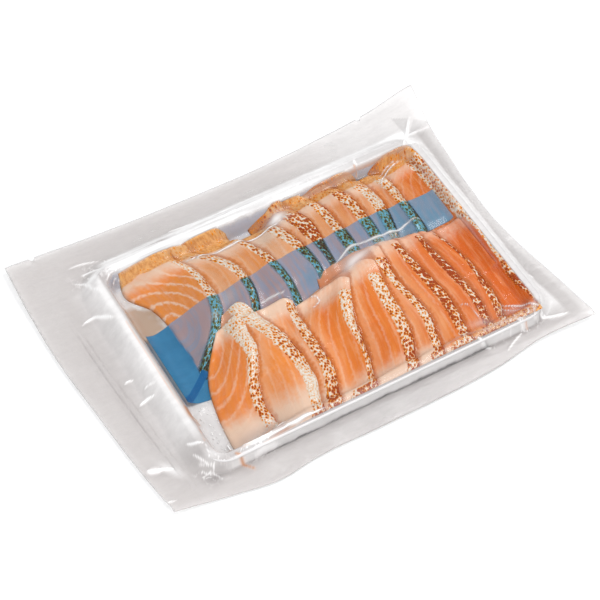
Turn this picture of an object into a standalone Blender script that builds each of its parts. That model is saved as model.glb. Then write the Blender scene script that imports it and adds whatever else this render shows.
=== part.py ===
"""Vacuum pack of seared salmon slices, lying flat.

A clear bag is drawn tight over a shallow tray that holds two rows of overlapping slices. The bag is one closed
solid: a thin sealed border, the drape down from the tray's rim, and the relief of the slices under the film.
Metres, +Z up. The origin is under the middle of the bag, on the plane that the tray's flat bottom rests on.
"""

import bmesh
import bpy
import numpy as np

MM = 0.001

# All sizes below are millimetres on one plan, whose zero lies inside the tray near its middle.
# Bag: each edge is a smooth curve through (place along the edge, place of the edge) points.
LEFT_EDGE = ((-98, -133.0), (-60, -137.8), (-20, -141.2), (28, -144.6), (60, -144.6), (100, -143.0))
RIGHT_EDGE = (
    (-100, 141.4), (-70, 137.6), (-40, 132.2), (-15, 128.8),
    (15, 129.0), (45, 132.0), (75, 134.6), (102, 139.3),
)
FRONT_EDGE = (
    (-133, -97.0), (-100, -102.8), (-72, -107.2), (-50, -104.8),
    (0, -104.8), (75, -102.6), (104, -98.6), (141, -100.3),
)
BACK_EDGE = (
    (-143, 100.0), (-100, 98.0), (-50, 95.2), (0, 94.0),
    (30, 94.4), (75, 97.6), (112, 101.0), (139, 102.0),
)
BORDER_THICKNESS = 0.8
BORDER_LEVEL = 1.7
FRONT_SAG = 0.9
NOTCHES = ((-127.0, 4.0), (99.0, 3.4))
NOTCH_DEPTH = 2.6
# How far the border's corners and edges curl up: (x, y, reach along x, reach along y, rise).
CURLS = (
    (141.0, 104.0, 24.0, 30.0, 8.0),
    (-145.0, 102.0, 30.0, 34.0, 2.2),
    (142.0, -102.0, 26.0, 30.0, 1.8),
    (0.0, 98.0, 90.0, 16.0, 1.4),
    (129.0, 0.0, 14.0, 60.0, 2.2),
    (6.0, -91.0, 90.0, 9.0, 1.6),
)

# Tray: the opening inside its rim, the rim's width, and the walls' draft.
OPENING = (-99.0, 112.0, -84.0, 60.0)
OPENING_CORNER = 9.0
RIM_WIDTH = 5.0
RIM_CORNER = 13.0
RIM_LEVEL = 12.0
FLOOR_LEVEL = 1.2
WALL_DRAFT = 5.5
# The drape is how far out the film comes down from the rim: left, right, front, back.
DRAPE = (10.0, 8.0, 3.0, 13.0)
DRAPE_HANG = 1.4
FLAT_BOTTOM = (-93.0, 106.0, -79.0, 55.0)
UNDER_RISE = 14.0
FILM = 0.35

# Slices: (near end, far end, right edge at four even stations, seared band's width there, breadth there).
SLICE_THICKNESS = 4.9
WEDGE_SHARE = 0.55
END_SOFTNESS = 1.5
BREADTH = (42.0, 45.0, 45.0, 42.0)
FRONT_ROW = (
    (-85, -2, (-57.0, -55.0, -43.5, -41.0), (8.0, 7.0, 8.0, 11.0), (29.0, 28.0, 32.0, 14.0)),
    (-85, 6, (-32.0, -23.5, -25.0, -36.0), (7.0, 8.0, 10.0, 7.0), BREADTH),
    (-85, -4, (-21.0, -11.5, -10.5, -8.0), (9.0, 8.0, 7.0, 5.0), BREADTH),
    (-85, -9, (2.0, 11.0, 17.0, 28.0), (6.0, 4.0, 7.0, 9.0), BREADTH),
    (-85, -6, (29.0, 39.0, 42.0, 46.0), (7.0, 8.0, 8.0, 8.0), BREADTH),
    (-85, 2, (46.0, 54.0, 51.5, 53.0), (6.0, 6.0, 5.5, 8.0), BREADTH),
    (-85, 1, (65.0, 70.0, 67.5, 65.0), (6.0, 7.0, 6.0, 5.0), BREADTH),
    (-85, 0, (80.0, 85.0, 82.0, 80.0), (5.0, 5.5, 5.5, 4.0), BREADTH),
    (-85, -2, (90.0, 96.5, 95.0, 88.0), (5.0, 6.0, 3.5, 3.0), BREADTH),
    (-85, -4, (117.0, 117.0, 116.5, 116.0), (12.0, 12.0, 11.0, 12.0), BREADTH),
)
BACK_ROW = (
    (-28, 58, (-73.0, -49.0, -45.0, -55.0), (8.0, 6.0, 6.0, 6.0), (5.0, 27.0, 35.0, 28.0)),
    (-14, 58, (-31.0, -23.5, -25.0, -38.0), (6.0, 5.5, 9.0, 8.0), BREADTH),
    (-14, 57, (-3.0, -3.0, -6.5, -20.0), (5.0, 5.0, 7.0, 5.0), BREADTH),
    (-14, 49, (15.0, 17.0, 15.3, 7.0), (4.0, 5.0, 8.0, 9.0), BREADTH),
    (-14, 56, (25.0, 27.0, 29.0, 23.0), (5.0, 5.0, 11.0, 13.0), BREADTH),
    (-14, 54, (41.0, 43.5, 42.7, 38.0), (7.0, 8.0, 7.0, 8.0), BREADTH),
    (-14, 54, (57.0, 60.0, 60.0, 56.0), (7.0, 7.5, 8.0, 9.0), BREADTH),
    (-14, 56, (65.0, 72.0, 75.0, 71.0), (6.0, 7.5, 9.0, 12.0), BREADTH),
    (-14, 52, (87.0, 88.0, 88.0, 87.0), (7.0, 7.0, 7.0, 9.0), BREADTH),
    (-14, 58, (116.0, 117.0, 117.0, 115.0), (12.0, 13.0, 14.0, 14.0), BREADTH),
)
# How a row's ends thin out: (length of the near taper, its end's share, length of the far taper, its end's share).
FRONT_TAPER = (6.0, 0.8, 14.0, 0.5)
BACK_TAPER = (18.0, 0.2, 13.0, 0.3)
# The pile's hidden under-layers lift it a little, to the right of the first slices and before its far ends.
BED_RISE = 2.2
BED_LEFT = (-72.0, -30.0)
BED_BACK = (54.0, 40.0)
# The pile evens out under the film above the start, and stays below the cap but for the ridge between the rows.
PILE_START = 11.0
PILE_CAP = 14.6
RIDGE_PLACE = -7.0
RIDGE_REACH = 13.0
RIDGE_RISE = 1.6

# Lines of the modelling grid.
TRAY_COLUMNS = 64
TRAY_ROWS = 25
LEFT_COLUMNS = (-145.0, -137.0, -131.0, -127.0, -123.0, -116.0, -109.0)
RIGHT_COLUMNS = (119.5, 123.0, 126.5, 131.0, 136.0, 141.4)
FRONT_ROWS = (-107.5, -103.0, -98.0, -94.2)
BACK_ROWS = (66.0, 70.0, 75.0, 80.0, 86.0, 94.0, 102.0)

FILM_COLOUR = (0.86, 0.80, 0.76, 1.0)


def ease(low, high, value):
    """0 at low, 1 at high, with level ends. Low may be the larger of the two."""
    t = np.clip((value - low) / (high - low), 0.0, 1.0)
    return t * t * (3.0 - 2.0 * t)


def curve_through(points, at):
    """A smooth curve through (place, value) points, each slope taken from the neighbours on both sides."""
    place, value = np.array(points, float).T
    slope = np.gradient(value, place)
    i = np.clip(np.searchsorted(place, at, side="right") - 1, 0, len(place) - 2)
    span = place[i + 1] - place[i]
    t = np.clip((at - place[i]) / span, 0.0, 1.0)
    start = (2 * t**3 - 3 * t**2 + 1) * value[i] + (t**3 - 2 * t**2 + t) * span * slope[i]
    end = (3 * t**2 - 2 * t**3) * value[i + 1] + (t**3 - t**2) * span * slope[i + 1]
    return start + end


def at_stations(values, share):
    """A smooth curve through values at even stations from share 0 to 1."""
    return curve_through(list(zip(np.linspace(0.0, 1.0, len(values)), values)), share)


def held_under(level, start, cap):
    """The same level below start, then nearing the cap without reaching it, so that what is higher stays higher."""
    room = cap - start
    return np.where(level < start, level, cap - room * np.exp(-np.maximum(level - start, 0.0) / room))


def outside(box, corner, x, y):
    """Distance out from a box with round corners; negative inside."""
    left, right, front, back = box
    dx = np.abs(x - (left + right) / 2) - (right - left) / 2 + corner
    dy = np.abs(y - (front + back) / 2) - (back - front) / 2 + corner
    return np.hypot(np.maximum(dx, 0), np.maximum(dy, 0)) + np.minimum(np.maximum(dx, dy), 0) - corner


def slice_thickness(piece, taper, x, y):
    """One slice's thickness on the plan: a long wedge from its left edge, the seared band falling off at its
    right edge, and its two ends tapered."""
    near, far, right_stations, band_stations, breadth_stations = piece
    near_length, near_share, far_length, far_share = taper
    share = (y - near) / (far - near)
    right = at_stations(right_stations, np.clip(share, 0, 1))
    band = at_stations(band_stations, np.clip(share, 0, 1))
    breadth = at_stations(breadth_stations, np.clip(share, 0, 1))
    wedge = ease(0.0, WEDGE_SHARE, (x - right + breadth) / breadth)
    fall = np.clip((right - x) / band, 0.0, 1.0)
    near_end = near_share + (1 - near_share) * ease(0.0, near_length, y - near)
    far_end = far_share + (1 - far_share) * ease(0.0, far_length, far - y)
    inside = ease(-END_SOFTNESS, END_SOFTNESS, y - near) * ease(-END_SOFTNESS, END_SOFTNESS, far - y)
    return SLICE_THICKNESS * wedge * (1 - (1 - fall) ** 2) * near_end * far_end * inside


def border_level(x, y):
    """Height of the bag's flat border, curled up at its corners and edges."""
    level = np.full_like(x, BORDER_LEVEL)
    for at_x, at_y, reach_x, reach_y, rise in CURLS:
        level += rise * np.exp(-(((x - at_x) / reach_x) ** 2) - ((y - at_y) / reach_y) ** 2)
    return level - FRONT_SAG * ease(-95.0, -104.0, y)


def drape_share(x, y):
    """1 on the rim, falling to 0 where the film has come down to the border. The rim's corners are round."""
    left, right, front, back = OPENING
    inset = RIM_WIDTH - RIM_CORNER
    past_x = np.maximum(left - inset - x, x - right - inset)
    past_y = np.maximum(front - inset - y, y - back - inset)
    across = np.maximum(past_x, 0.0) / (RIM_CORNER + np.where(x < 0, DRAPE[0], DRAPE[1]))
    along = np.maximum(past_y, 0.0) / (RIM_CORNER + np.where(y < 0, DRAPE[2], DRAPE[3]))
    rim = np.hypot(np.maximum(past_x, 0.0), np.maximum(past_y, 0.0)) / RIM_CORNER
    past = (rim - 1.0) / (rim / np.maximum(np.hypot(across, along), 1e-9) - 1.0)
    return np.where(rim > 1.0, np.clip(1.0 - past, 0.0, 1.0) ** DRAPE_HANG, 1.0)


def tray_level(x, y):
    """Height of the tray: floor, sloping walls and level rim."""
    past_floor = outside(OPENING, OPENING_CORNER, x, y) + WALL_DRAFT
    return FLOOR_LEVEL + (RIM_LEVEL - FLOOR_LEVEL) * ease(0.0, WALL_DRAFT, past_floor)


def contents_level(x, y):
    """Height of the two rows of slices, piled on the tray's floor and against its walls. The front row's far ends
    lie on the back row's near ends, and the pile rises a little there."""
    bed = BED_RISE * ease(*BED_LEFT, x) * ease(*BED_BACK, y)
    level = tray_level(x, y) + bed
    for row, taper in ((BACK_ROW, BACK_TAPER), (FRONT_ROW, FRONT_TAPER)):
        for piece in row:
            level += slice_thickness(piece, taper, x, y)
    ridge = RIDGE_RISE * np.exp(-(((y - RIDGE_PLACE) / RIDGE_REACH) ** 2))
    return held_under(level, PILE_START, PILE_CAP + ridge)


def top_level(x, y):
    """Height of the film: over the higher of tray and slices, and down the drape to the border."""
    border = border_level(x, y)
    share = drape_share(x, y)
    return np.where(share < 1.0, border + (RIM_LEVEL - border) * share, contents_level(x, y)) + FILM


def under_level(x, y):
    """Height of the lower film: flat under the tray, then up to the border's underside."""
    left, right, front, back = FLAT_BOTTOM
    past_x = np.maximum(np.maximum(left - x, x - right), 0.0)
    past_y = np.maximum(np.maximum(front - y, y - back), 0.0)
    return (border_level(x, y) - BORDER_THICKNESS) * ease(0.0, UNDER_RISE, np.hypot(past_x, past_y))


def warp(x, y):
    """Moves the border's points out or in, so that the grid's outer lines follow the bag's four edges."""
    left, right, front, back = np.array(OPENING) + RIM_WIDTH * np.array((-1, 1, -1, 1))
    notch = sum(np.clip(1 - np.abs(x - at) / half, 0, 1) for at, half in NOTCHES) * NOTCH_DEPTH
    to_left = np.clip((left - x) / (left - LEFT_COLUMNS[0]), 0, 1)
    to_right = np.clip((x - right) / (RIGHT_COLUMNS[-1] - right), 0, 1)
    to_front = np.clip((front - y) / (front - FRONT_ROWS[0]), 0, 1)
    to_back = np.clip((y - back) / (BACK_ROWS[-1] - back), 0, 1)
    new_x = x + to_left * (curve_through(LEFT_EDGE, y) - LEFT_COLUMNS[0])
    new_x += to_right * (curve_through(RIGHT_EDGE, y) - RIGHT_COLUMNS[-1])
    new_y = y + to_front * (curve_through(FRONT_EDGE, new_x) - FRONT_ROWS[0])
    new_y += to_back * (curve_through(BACK_EDGE, new_x) - BACK_ROWS[-1])
    new_y -= notch * (to_back > 0.999)
    return new_x, new_y


def grid_lines():
    """The grid's columns and rows: even and close over the tray, wider apart in the border."""
    tray_x = np.linspace(OPENING[0] - RIM_WIDTH, OPENING[1] + RIM_WIDTH, TRAY_COLUMNS)
    tray_y = np.linspace(OPENING[2] - RIM_WIDTH, OPENING[3] + RIM_WIDTH, TRAY_ROWS)
    return np.concatenate((LEFT_COLUMNS, tray_x, RIGHT_COLUMNS)), np.concatenate((FRONT_ROWS, tray_y, BACK_ROWS))


def shape(vertices, columns, rows, level, middle):
    """Puts a unit grid's vertices on the columns and rows, warps them to the bag's outline and sets their height."""
    flat = np.array([v.co[:2] for v in vertices])
    x = np.interp(flat[:, 0], np.linspace(-1, 1, len(columns)), columns)
    y = np.interp(flat[:, 1], np.linspace(-1, 1, len(rows)), rows)
    x, y = warp(x, y)
    points = np.stack((x - middle[0], y - middle[1], level(x, y)), axis=1) * MM
    for vertex, point in zip(vertices, points):
        vertex.co = point


def outline_middle(columns, rows):
    """The middle of the bag's outline on the plan, which the origin stands under."""
    x, y = warp(*(line.ravel() for line in np.meshgrid(columns, rows)))
    return (x.min() + x.max()) / 2, (y.min() + y.max()) / 2


def flat_faces(faces, middle):
    """The faces of the underside that lie wholly on the tray's flat bottom."""
    left, right, front, back = FLAT_BOTTOM
    low_x, low_y = (np.array((left, front)) - middle) * MM
    high_x, high_y = (np.array((right, back)) - middle) * MM

    def lies_flat(face):
        return all(low_x <= v.co.x <= high_x and low_y <= v.co.y <= high_y for v in face.verts)

    return [face for face in faces if lies_flat(face)]


def material(name, colour, roughness):
    made = bpy.data.materials.new(name)
    made.use_nodes = True
    shader = made.node_tree.nodes["Principled BSDF"]
    shader.inputs["Base Color"].default_value = colour
    shader.inputs["Roughness"].default_value = roughness
    shader.inputs["Metallic"].default_value = 0.0
    return made


def build_bag():
    """The bag as one closed solid: a grid for its underside, extruded up to the film's top."""
    columns, rows = grid_lines()
    middle = outline_middle(columns, rows)
    bm = bmesh.new()
    bmesh.ops.create_grid(bm, x_segments=len(columns) - 1, y_segments=len(rows) - 1, size=1.0)
    under_vertices = list(bm.verts)
    under_faces = list(bm.faces)
    raised = bmesh.ops.extrude_face_region(bm, geom=under_faces, use_keep_orig=True)["geom"]
    top_vertices = [part for part in raised if isinstance(part, bmesh.types.BMVert)]
    shape(top_vertices, columns, rows, top_level, middle)
    shape(under_vertices, columns, rows, under_level, middle)
    rest = bmesh.ops.dissolve_faces(bm, faces=flat_faces(under_faces, middle))["region"]
    bmesh.ops.poke(bm, faces=rest)
    bmesh.ops.recalc_face_normals(bm, faces=list(bm.faces))
    mesh = bpy.data.meshes.new("bag")
    bm.to_mesh(mesh)
    bm.free()
    mesh.materials.append(material("bag_film", FILM_COLOUR, 0.2))
    mesh.shade_smooth()
    mesh.set_sharp_from_angle(angle=np.radians(40.0))
    bag = bpy.data.objects.new("bag", mesh)
    bpy.context.scene.collection.objects.link(bag)
    return bag


def main():
    for old in list(bpy.data.objects):
        bpy.data.objects.remove(old)
    build_bag()


main()
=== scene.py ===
"""Vacuum pack of seared salmon slices, with its looks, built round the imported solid.

The clear bag's solid is replaced by its film and by what the film holds: a shallow pale tray, a back row and a front
row of overlapping slices, the clear sheet with a blue stripe that lies between the rows, and a little juice.
Sizes are millimetres on one plan until they are put into a mesh. The plan's zero lies inside the tray, and the
bag's middle is moved onto the frame's origin.
"""

import math
from collections import namedtuple

import bmesh
import bpy
import numpy as np
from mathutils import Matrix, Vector


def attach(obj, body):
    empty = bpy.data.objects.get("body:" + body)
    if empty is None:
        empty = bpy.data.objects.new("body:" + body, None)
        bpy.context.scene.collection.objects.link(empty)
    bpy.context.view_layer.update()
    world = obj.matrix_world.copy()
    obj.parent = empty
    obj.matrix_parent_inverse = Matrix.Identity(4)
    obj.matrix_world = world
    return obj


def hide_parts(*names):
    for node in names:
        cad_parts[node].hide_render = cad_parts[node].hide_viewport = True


bl_info = {
    "name": "Vacuum pack of seared salmon slices",
    "version": (1, 0, 0),
    "blender": (4, 5, 0),
    "location": "3D View > Sidebar > Salmon Pack",
    "description": "Adds a tray of overlapping seared salmon slices under clear vacuum film",
    "category": "Add Mesh",
}

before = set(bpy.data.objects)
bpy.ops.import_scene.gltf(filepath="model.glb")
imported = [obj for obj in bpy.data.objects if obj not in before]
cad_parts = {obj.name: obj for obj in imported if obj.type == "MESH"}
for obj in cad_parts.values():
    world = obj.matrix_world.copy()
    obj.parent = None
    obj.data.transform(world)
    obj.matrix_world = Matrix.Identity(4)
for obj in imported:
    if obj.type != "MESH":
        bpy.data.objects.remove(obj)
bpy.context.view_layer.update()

MM = 0.001
NODE = "bag"
BODY = "root"

# Bag: each edge is a smooth curve through (place along the edge, place of the edge) points.
LEFT_EDGE = ((-98, -133.0), (-60, -137.8), (-20, -141.2), (28, -144.6), (60, -144.6), (100, -143.0))
RIGHT_EDGE = (
    (-100, 141.4), (-70, 137.6), (-40, 132.2), (-15, 128.8),
    (15, 129.0), (45, 132.0), (75, 134.6), (102, 139.3),
)
FRONT_EDGE = (
    (-133, -97.0), (-100, -102.8), (-72, -107.2), (-50, -104.8),
    (0, -104.8), (75, -102.6), (104, -98.6), (141, -100.3),
)
BACK_EDGE = (
    (-143, 100.0), (-100, 98.0), (-50, 95.2), (0, 94.0),
    (30, 94.4), (75, 97.6), (112, 101.0), (139, 102.0),
)
BAG = (-145.0, 141.4, -107.5, 102.0)
BORDER_LEVEL = 1.7
FRONT_SAG = 0.9
NOTCHES = ((-127.0, 2.2), (99.0, 2.2))
NOTCH_DEPTH = 2.6
# How far the border's corners and edges curl up: (x, y, reach along x, reach along y, rise).
CURLS = (
    (141.0, 104.0, 24.0, 30.0, 8.0),
    (-145.0, 102.0, 30.0, 34.0, 2.2),
    (142.0, -102.0, 26.0, 30.0, 1.8),
    (0.0, 98.0, 90.0, 16.0, 1.4),
    (129.0, 0.0, 14.0, 60.0, 2.2),
    (6.0, -91.0, 90.0, 9.0, 1.6),
)

# Tray: the opening inside its rim, the rim's width, and the walls' draft.
OPENING = (-99.0, 112.0, -84.0, 60.0)
OPENING_CORNER = 9.0
RIM_WIDTH = 4.0
RIM_CORNER = 13.0
FLOOR_LEVEL = 1.2
WALL_DRAFT = 5.5
TRAY_WALL = 0.35
# The lip's profile past the wall: (way out from the opening, drop from the rim).
TRAY_LIP = ((1.2, 0.0), (3.8, 0.0), (4.7, 0.3), (4.8, 1.6))
# The film's way down from the rim: its reach to the left, right, front and back, how it hangs, and its first bend.
DRAPE = (11.0, 9.0, 1.5, 14.0)
DRAPE_HANG = 1.4
DRAPE_ROUND = 0.15

# Slices: near end, far end, and at even stations from near to far the right edge, the seared band's width, the
# breadth and how darkly the band is charred. Then how far the band runs on round the near end, how round the far end
# is, how deep the flesh is, how pale it is all over, how long its pale near end is, and how far short of the far end
# the band stops.
Slice = namedtuple("Slice", "near far right band breadth char hook hump tone pale end top", defaults=(0.0,) * 4)
WHOLE = (42, 45, 45, 42)
FRONT_ROW = (
    Slice(-80.5, -2, (-57, -55, -43.5, -41), (8, 7, 8, 13), (29, 28, 32, 14),
          (0.4, 0.75, 0.35, 0.25), 7, 4, 0.35, 0.12, 27),
    Slice(-87.2, 6, (-32, -23.5, -25, -36), (7, 8, 11, 11), (42, 45, 40, 12),
          (0.9, 0.05, 0.65, 0.6, 0.12, 0.12), 12, 4, 0.2, 0.18, 34),
    Slice(-87.2, -4, (-21, -11.5, -10.5, -8), (9, 8, 7, 5), WHOLE,
          (0.7, 0.75, 0.6, 0.5), 13, 4, 0.4, 0.2, 22, 1),
    Slice(-87.2, -9, (2, 11, 17, 28), (6, 4, 7, 9), WHOLE,
          (0.75, 0.7, 0.55, 0.6), 24, 4, 0.5, 0, 22, 7),
    Slice(-87.2, -6, (29, 39, 42, 46), (7, 8, 8, 8), WHOLE,
          (0.75, 0.7, 0.55, 0.3), 11, 4, 0.55, 0, 20, 9),
    Slice(-87.2, 2, (46, 54, 51.5, 53), (6, 6, 5.5, 8), WHOLE,
          (0.7, 0.65, 0.7, 0.6), 13, 4, 0.6, 0.1, 18, 9),
    Slice(-87.2, 1, (65, 70, 67.5, 65), (6, 7, 6, 5), WHOLE,
          (0.85, 0.88, 0.85, 0.82), 20, 4, 0.65, 0.05, 5, 3),
    Slice(-87.2, 0, (80, 85, 82, 80), (5, 5.5, 5.5, 4), WHOLE,
          (1, 0.95, 1, 0.92), 14, 4, 0.8, 0, 0, 2),
    Slice(-87.2, -2, (90, 96.5, 95, 88), (5, 6, 3.5, 3), WHOLE,
          (0.95, 0.82, 0.85, 0.9), 16, 4, 0.85, 0, 0, 2),
    Slice(-87.2, -4, (112.5, 112.5, 112, 111.5), (1.5, 4, 2, 2.5), WHOLE,
          (0.85, 1, 0.3, 0.55), 34, 4, 0.98, 0, 0),
)
BACK_ROW = (
    Slice(-28, 59.5, (-73, -49, -45, -55), (13, 8, 6, 6), (5, 17, 28.5, 33, 36, 41, 33),
          (0.8, 0.65, 0.6, 0.5, 0.4), 0, 1, 0.25, 0.15),
    Slice(-14, 59.5, (-31, -23.5, -25.5, -46), (6, 5.5, 9, 10), WHOLE,
          (0.6, 0.65, 0.52, 0.45), 0, 2, 0.1, 0.3),
    Slice(-14, 59.5, (-3, -3, -6.5, -19), (5, 5, 7, 6), WHOLE,
          (0.6, 0.65, 0.65, 0.5), 0, 2.5, 0.2, 0.2),
    Slice(-14, 50, (15, 17, 15.3, 8), (4, 5, 8, 9), WHOLE,
          (0.8, 0.75, 0.62, 0.55), 0, 3, 0.1, 0.45),
    Slice(-14, 59.6, (25, 27, 29, 22), (5, 5, 11, 12), (42, 45, 42, 13),
          (0.85, 0.8, 0.75, 0.7), 0, 3.5, 0.3, 0.3),
    Slice(-14, 58.5, (41, 43.5, 42.7, 38), (7, 8, 7, 8), WHOLE,
          (0.75, 0.7, 0.65, 0.65), 0, 3, 0.3, 0.2),
    Slice(-14, 57.5, (57, 60, 60, 56), (7, 7.5, 8, 9), WHOLE,
          (0.8, 0.75, 0.72, 0.65), 0, 3, 0.5, 0.15),
    Slice(-14, 59.6, (65, 72, 75, 71), (6, 7.5, 9, 12), WHOLE,
          (0.8, 0.7, 0.55, 0.52), 0, 3, 0.5, 0.2),
    Slice(-14, 55.5, (87, 88, 88, 87), (7, 7, 7, 9), WHOLE,
          (0.65, 0.65, 0.55, 0.55), 0, 3, 0.7),
    Slice(-14, 59.6, (111.5, 112, 112, 111), (3.5, 5.5, 7, 9), (42, 45, 42, 29),
          (0.5, 0.6, 0.62, 0.72), 0, 3, 0.75),
)
# How a row's ends thin out: (length of the near taper, its end's share, length of the far taper, its end's share).
FRONT_TAPER = (10.0, 0.35, 14.0, 0.5)
BACK_TAPER = (18.0, 0.2, 11.0, 0.78)
WEDGE_SHARE = 0.55
EDGE_ROUND = 2.6
# A slice's grid: the number of lines across, closest at the seared band, and the mean step along.
SLICE_LINES = 58
SLICE_STEP = 0.62
# The pile's hidden under-layers lift it a little, to the right of the first slices and before its far ends.
BED_RISE = 2.2
BED_LEFT = (-72.0, -30.0)
BED_BACK = (54.0, 40.0)
# The pile evens out under the film above the start, and stays below the cap but for the ridge between the rows.
PILE_START = 11.0
PILE_CAP = 14.6
RIDGE_PLACE = -7.0
RIDGE_REACH = 13.0
RIDGE_RISE = 1.6

# Sheet with the stripe: its four edges, its lift off the slices and half its thickness, and the stripe's far and
# near edges.
SHEET = (-94.0, 107.0, -46.0, 40.0)
SHEET_LIFT = 0.3
SHEET_HALF = 0.05
STRIPE_FAR = ((-94, 13.0), (-71, 16.6), (-60, 17.2), (-48, 16.8), (-30, 17.6), (-18, 19.2), (3, 20.1), (32, 20.6),
              (52, 21.2), (75, 22.2), (107, 22.5))
STRIPE_NEAR = ((-94, -39.5), (-79, -41.5), (-60, -38.0), (-30, -20.0), (0, -10.0), (50, -4.0), (107, -2.0))
# The fold in the stripe: its two ends, half its width and half its length.
FOLD = ((-94.0, -39.0), (-74.0, -23.0), 2.3, 12.5)
# Where the back row's crust begins.
CRUST_LINE = (
    (-92, 50.0), (-85, 52.5), (-78, 52.5), (-65, 51.4), (-54, 50.0), (-38, 47.5), (-20, 45.0), (0, 43.0), (17, 46.0),
    (40, 47.5), (60, 46.5), (78, 45.5), (100, 48.0), (112, 50.0),
)

# Bubbles: the open corner that they lie in, their number and their sizes.
BUBBLE_AREA = (-92.0, -80.0, -78.0, -42.0)
BUBBLES = 70
BUBBLE_SIZES = (0.2, 0.6)

# Film: its grid as runs of (start, end, number of places), closer where it bends, and its flat underside.
FILM_COLUMNS = ((BAG[0], -130, 10), (-130, 129, 316), (129, BAG[1], 14))
FILM_ROWS = ((BAG[2], -91, 12), (-91, -87, 17), (-87, 84, 206), (84, BAG[3], 19))
UNDERSIDE = (-93.0, 106.0, -79.0, 55.0)

# Height grid that the pile, the sheet and the film are worked out on, and the rounds that draw both taut.
STEP = 0.8
GRID = (-150.0, 150.0, -114.0, 110.0)
SHEET_ROUNDS = 140
FILM_ROUNDS = 80


# ---------------------------------------------------------------- formulas on the plan


def ease(low, high, value):
    """0 at low, 1 at high, with level ends. Low may be the larger of the two."""
    t = np.clip((value - low) / (high - low), 0.0, 1.0)
    return t * t * (3.0 - 2.0 * t)


def between(start, full, fading, end, value):
    """1 from full to fading, eased down to 0 at start and at end."""
    return ease(start, full, value) * ease(end, fading, value)


def hill(x, y, at_x, at_y, reach_x, reach_y):
    """A round hill: 1 at its middle, less by the exponential of the squared distance over its reach each way."""
    return np.exp(-(((x - at_x) / reach_x) ** 2) - ((y - at_y) / reach_y) ** 2)


def curve_through(points, at):
    """A smooth curve through (place, value) points, each slope taken from the neighbours on both sides."""
    place, value = np.array(points, float).T
    slope = np.gradient(value, place)
    i = np.clip(np.searchsorted(place, at, side="right") - 1, 0, len(place) - 2)
    span = place[i + 1] - place[i]
    t = np.clip((at - place[i]) / span, 0.0, 1.0)
    start = (2 * t**3 - 3 * t**2 + 1) * value[i] + (t**3 - 2 * t**2 + t) * span * slope[i]
    end = (3 * t**2 - 2 * t**3) * value[i + 1] + (t**3 - t**2) * span * slope[i + 1]
    return start + end


def at_stations(values, share):
    """A smooth curve through values at even stations from share 0 to 1."""
    return curve_through(list(zip(np.linspace(0.0, 1.0, len(values)), values)), np.clip(share, 0.0, 1.0))


def held_under(level, start, cap):
    """The same level below start, then nearing the cap without reaching it, so that what is higher stays higher."""
    room = cap - start
    return np.where(level < start, level, cap - room * np.exp(-np.maximum(level - start, 0.0) / room))


def lattice_noise(x, y, size, seed):
    """Smooth random heights from -1 to 1: random values on a square lattice of that size, eased between corners."""
    table = np.random.default_rng(seed).uniform(-1.0, 1.0, (61, 61))
    column, row = np.floor(x / size).astype(int), np.floor(y / size).astype(int)
    across, along = ease(0.0, 1.0, x / size - column), ease(0.0, 1.0, y / size - row)

    def corner(right, up):
        return table[(column + right) % 61, (row + up) % 61]

    near = corner(0, 0) * (1 - across) + corner(1, 0) * across
    far = corner(0, 1) * (1 - across) + corner(1, 1) * across
    return near * (1 - along) + far * along


def outside(box, corner, x, y):
    """Distance out from a box with round corners, negative inside: the distance from the box drawn in by its
    corners' radius, less that radius."""
    left, right, front, back = box
    dx = np.abs(x - (left + right) / 2) - (right - left) / 2 + corner
    dy = np.abs(y - (front + back) / 2) - (back - front) / 2 + corner
    return np.hypot(np.maximum(dx, 0), np.maximum(dy, 0)) + np.minimum(np.maximum(dx, dy), 0) - corner


def border_level(x, y):
    """Height of the bag's border: one level, a hill at each curl, and a sag along the front edge."""
    level = np.full_like(x, BORDER_LEVEL)
    for at_x, at_y, reach_x, reach_y, rise in CURLS:
        level += rise * hill(x, y, at_x, at_y, reach_x, reach_y)
    return level - FRONT_SAG * ease(-95.0, -104.0, y)


def drape_fall(x, y):
    """How far the film has come down: 0 on the rim, growing in step with the distance past it to 1 where it meets
    the border, and on from there. Corners are quarter ellipses."""
    left, right, front, back = OPENING
    inset = RIM_WIDTH - RIM_CORNER
    past_x = np.maximum(left - inset - x, x - right - inset)
    past_y = np.maximum(front - inset - y, y - back - inset)
    across = np.maximum(past_x, 0.0) / (RIM_CORNER + np.where(x < 0, DRAPE[0], DRAPE[1]))
    along = np.maximum(past_y, 0.0) / (RIM_CORNER + np.where(y < 0, DRAPE[2], DRAPE[3]))
    rim = np.hypot(np.maximum(past_x, 0.0), np.maximum(past_y, 0.0)) / RIM_CORNER
    past = (rim - 1.0) / np.maximum(rim / np.maximum(np.hypot(across, along), 1e-9) - 1.0, 1e-9)
    return np.where(rim > 1.0, past, 0.0)


def drape_share(x, y):
    """1 on the rim, falling to 0 where the film has come down to the border: 1 less the fall, whose first bend is
    rounded as the top of a hyperbola, to the power of its hang."""
    fall = np.sqrt(drape_fall(x, y) ** 2 + DRAPE_ROUND**2) - DRAPE_ROUND
    return np.clip(1.0 - fall / (math.sqrt(1.0 + DRAPE_ROUND**2) - DRAPE_ROUND), 0.0, 1.0) ** DRAPE_HANG


def tray_level(x, y, rim):
    """Height of the tray: its floor, eased up to the rim over the walls' draft."""
    past_floor = outside(OPENING, OPENING_CORNER, x, y) + WALL_DRAFT
    return FLOOR_LEVEL + (rim - FLOOR_LEVEL) * ease(0.0, WALL_DRAFT, past_floor)


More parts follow.
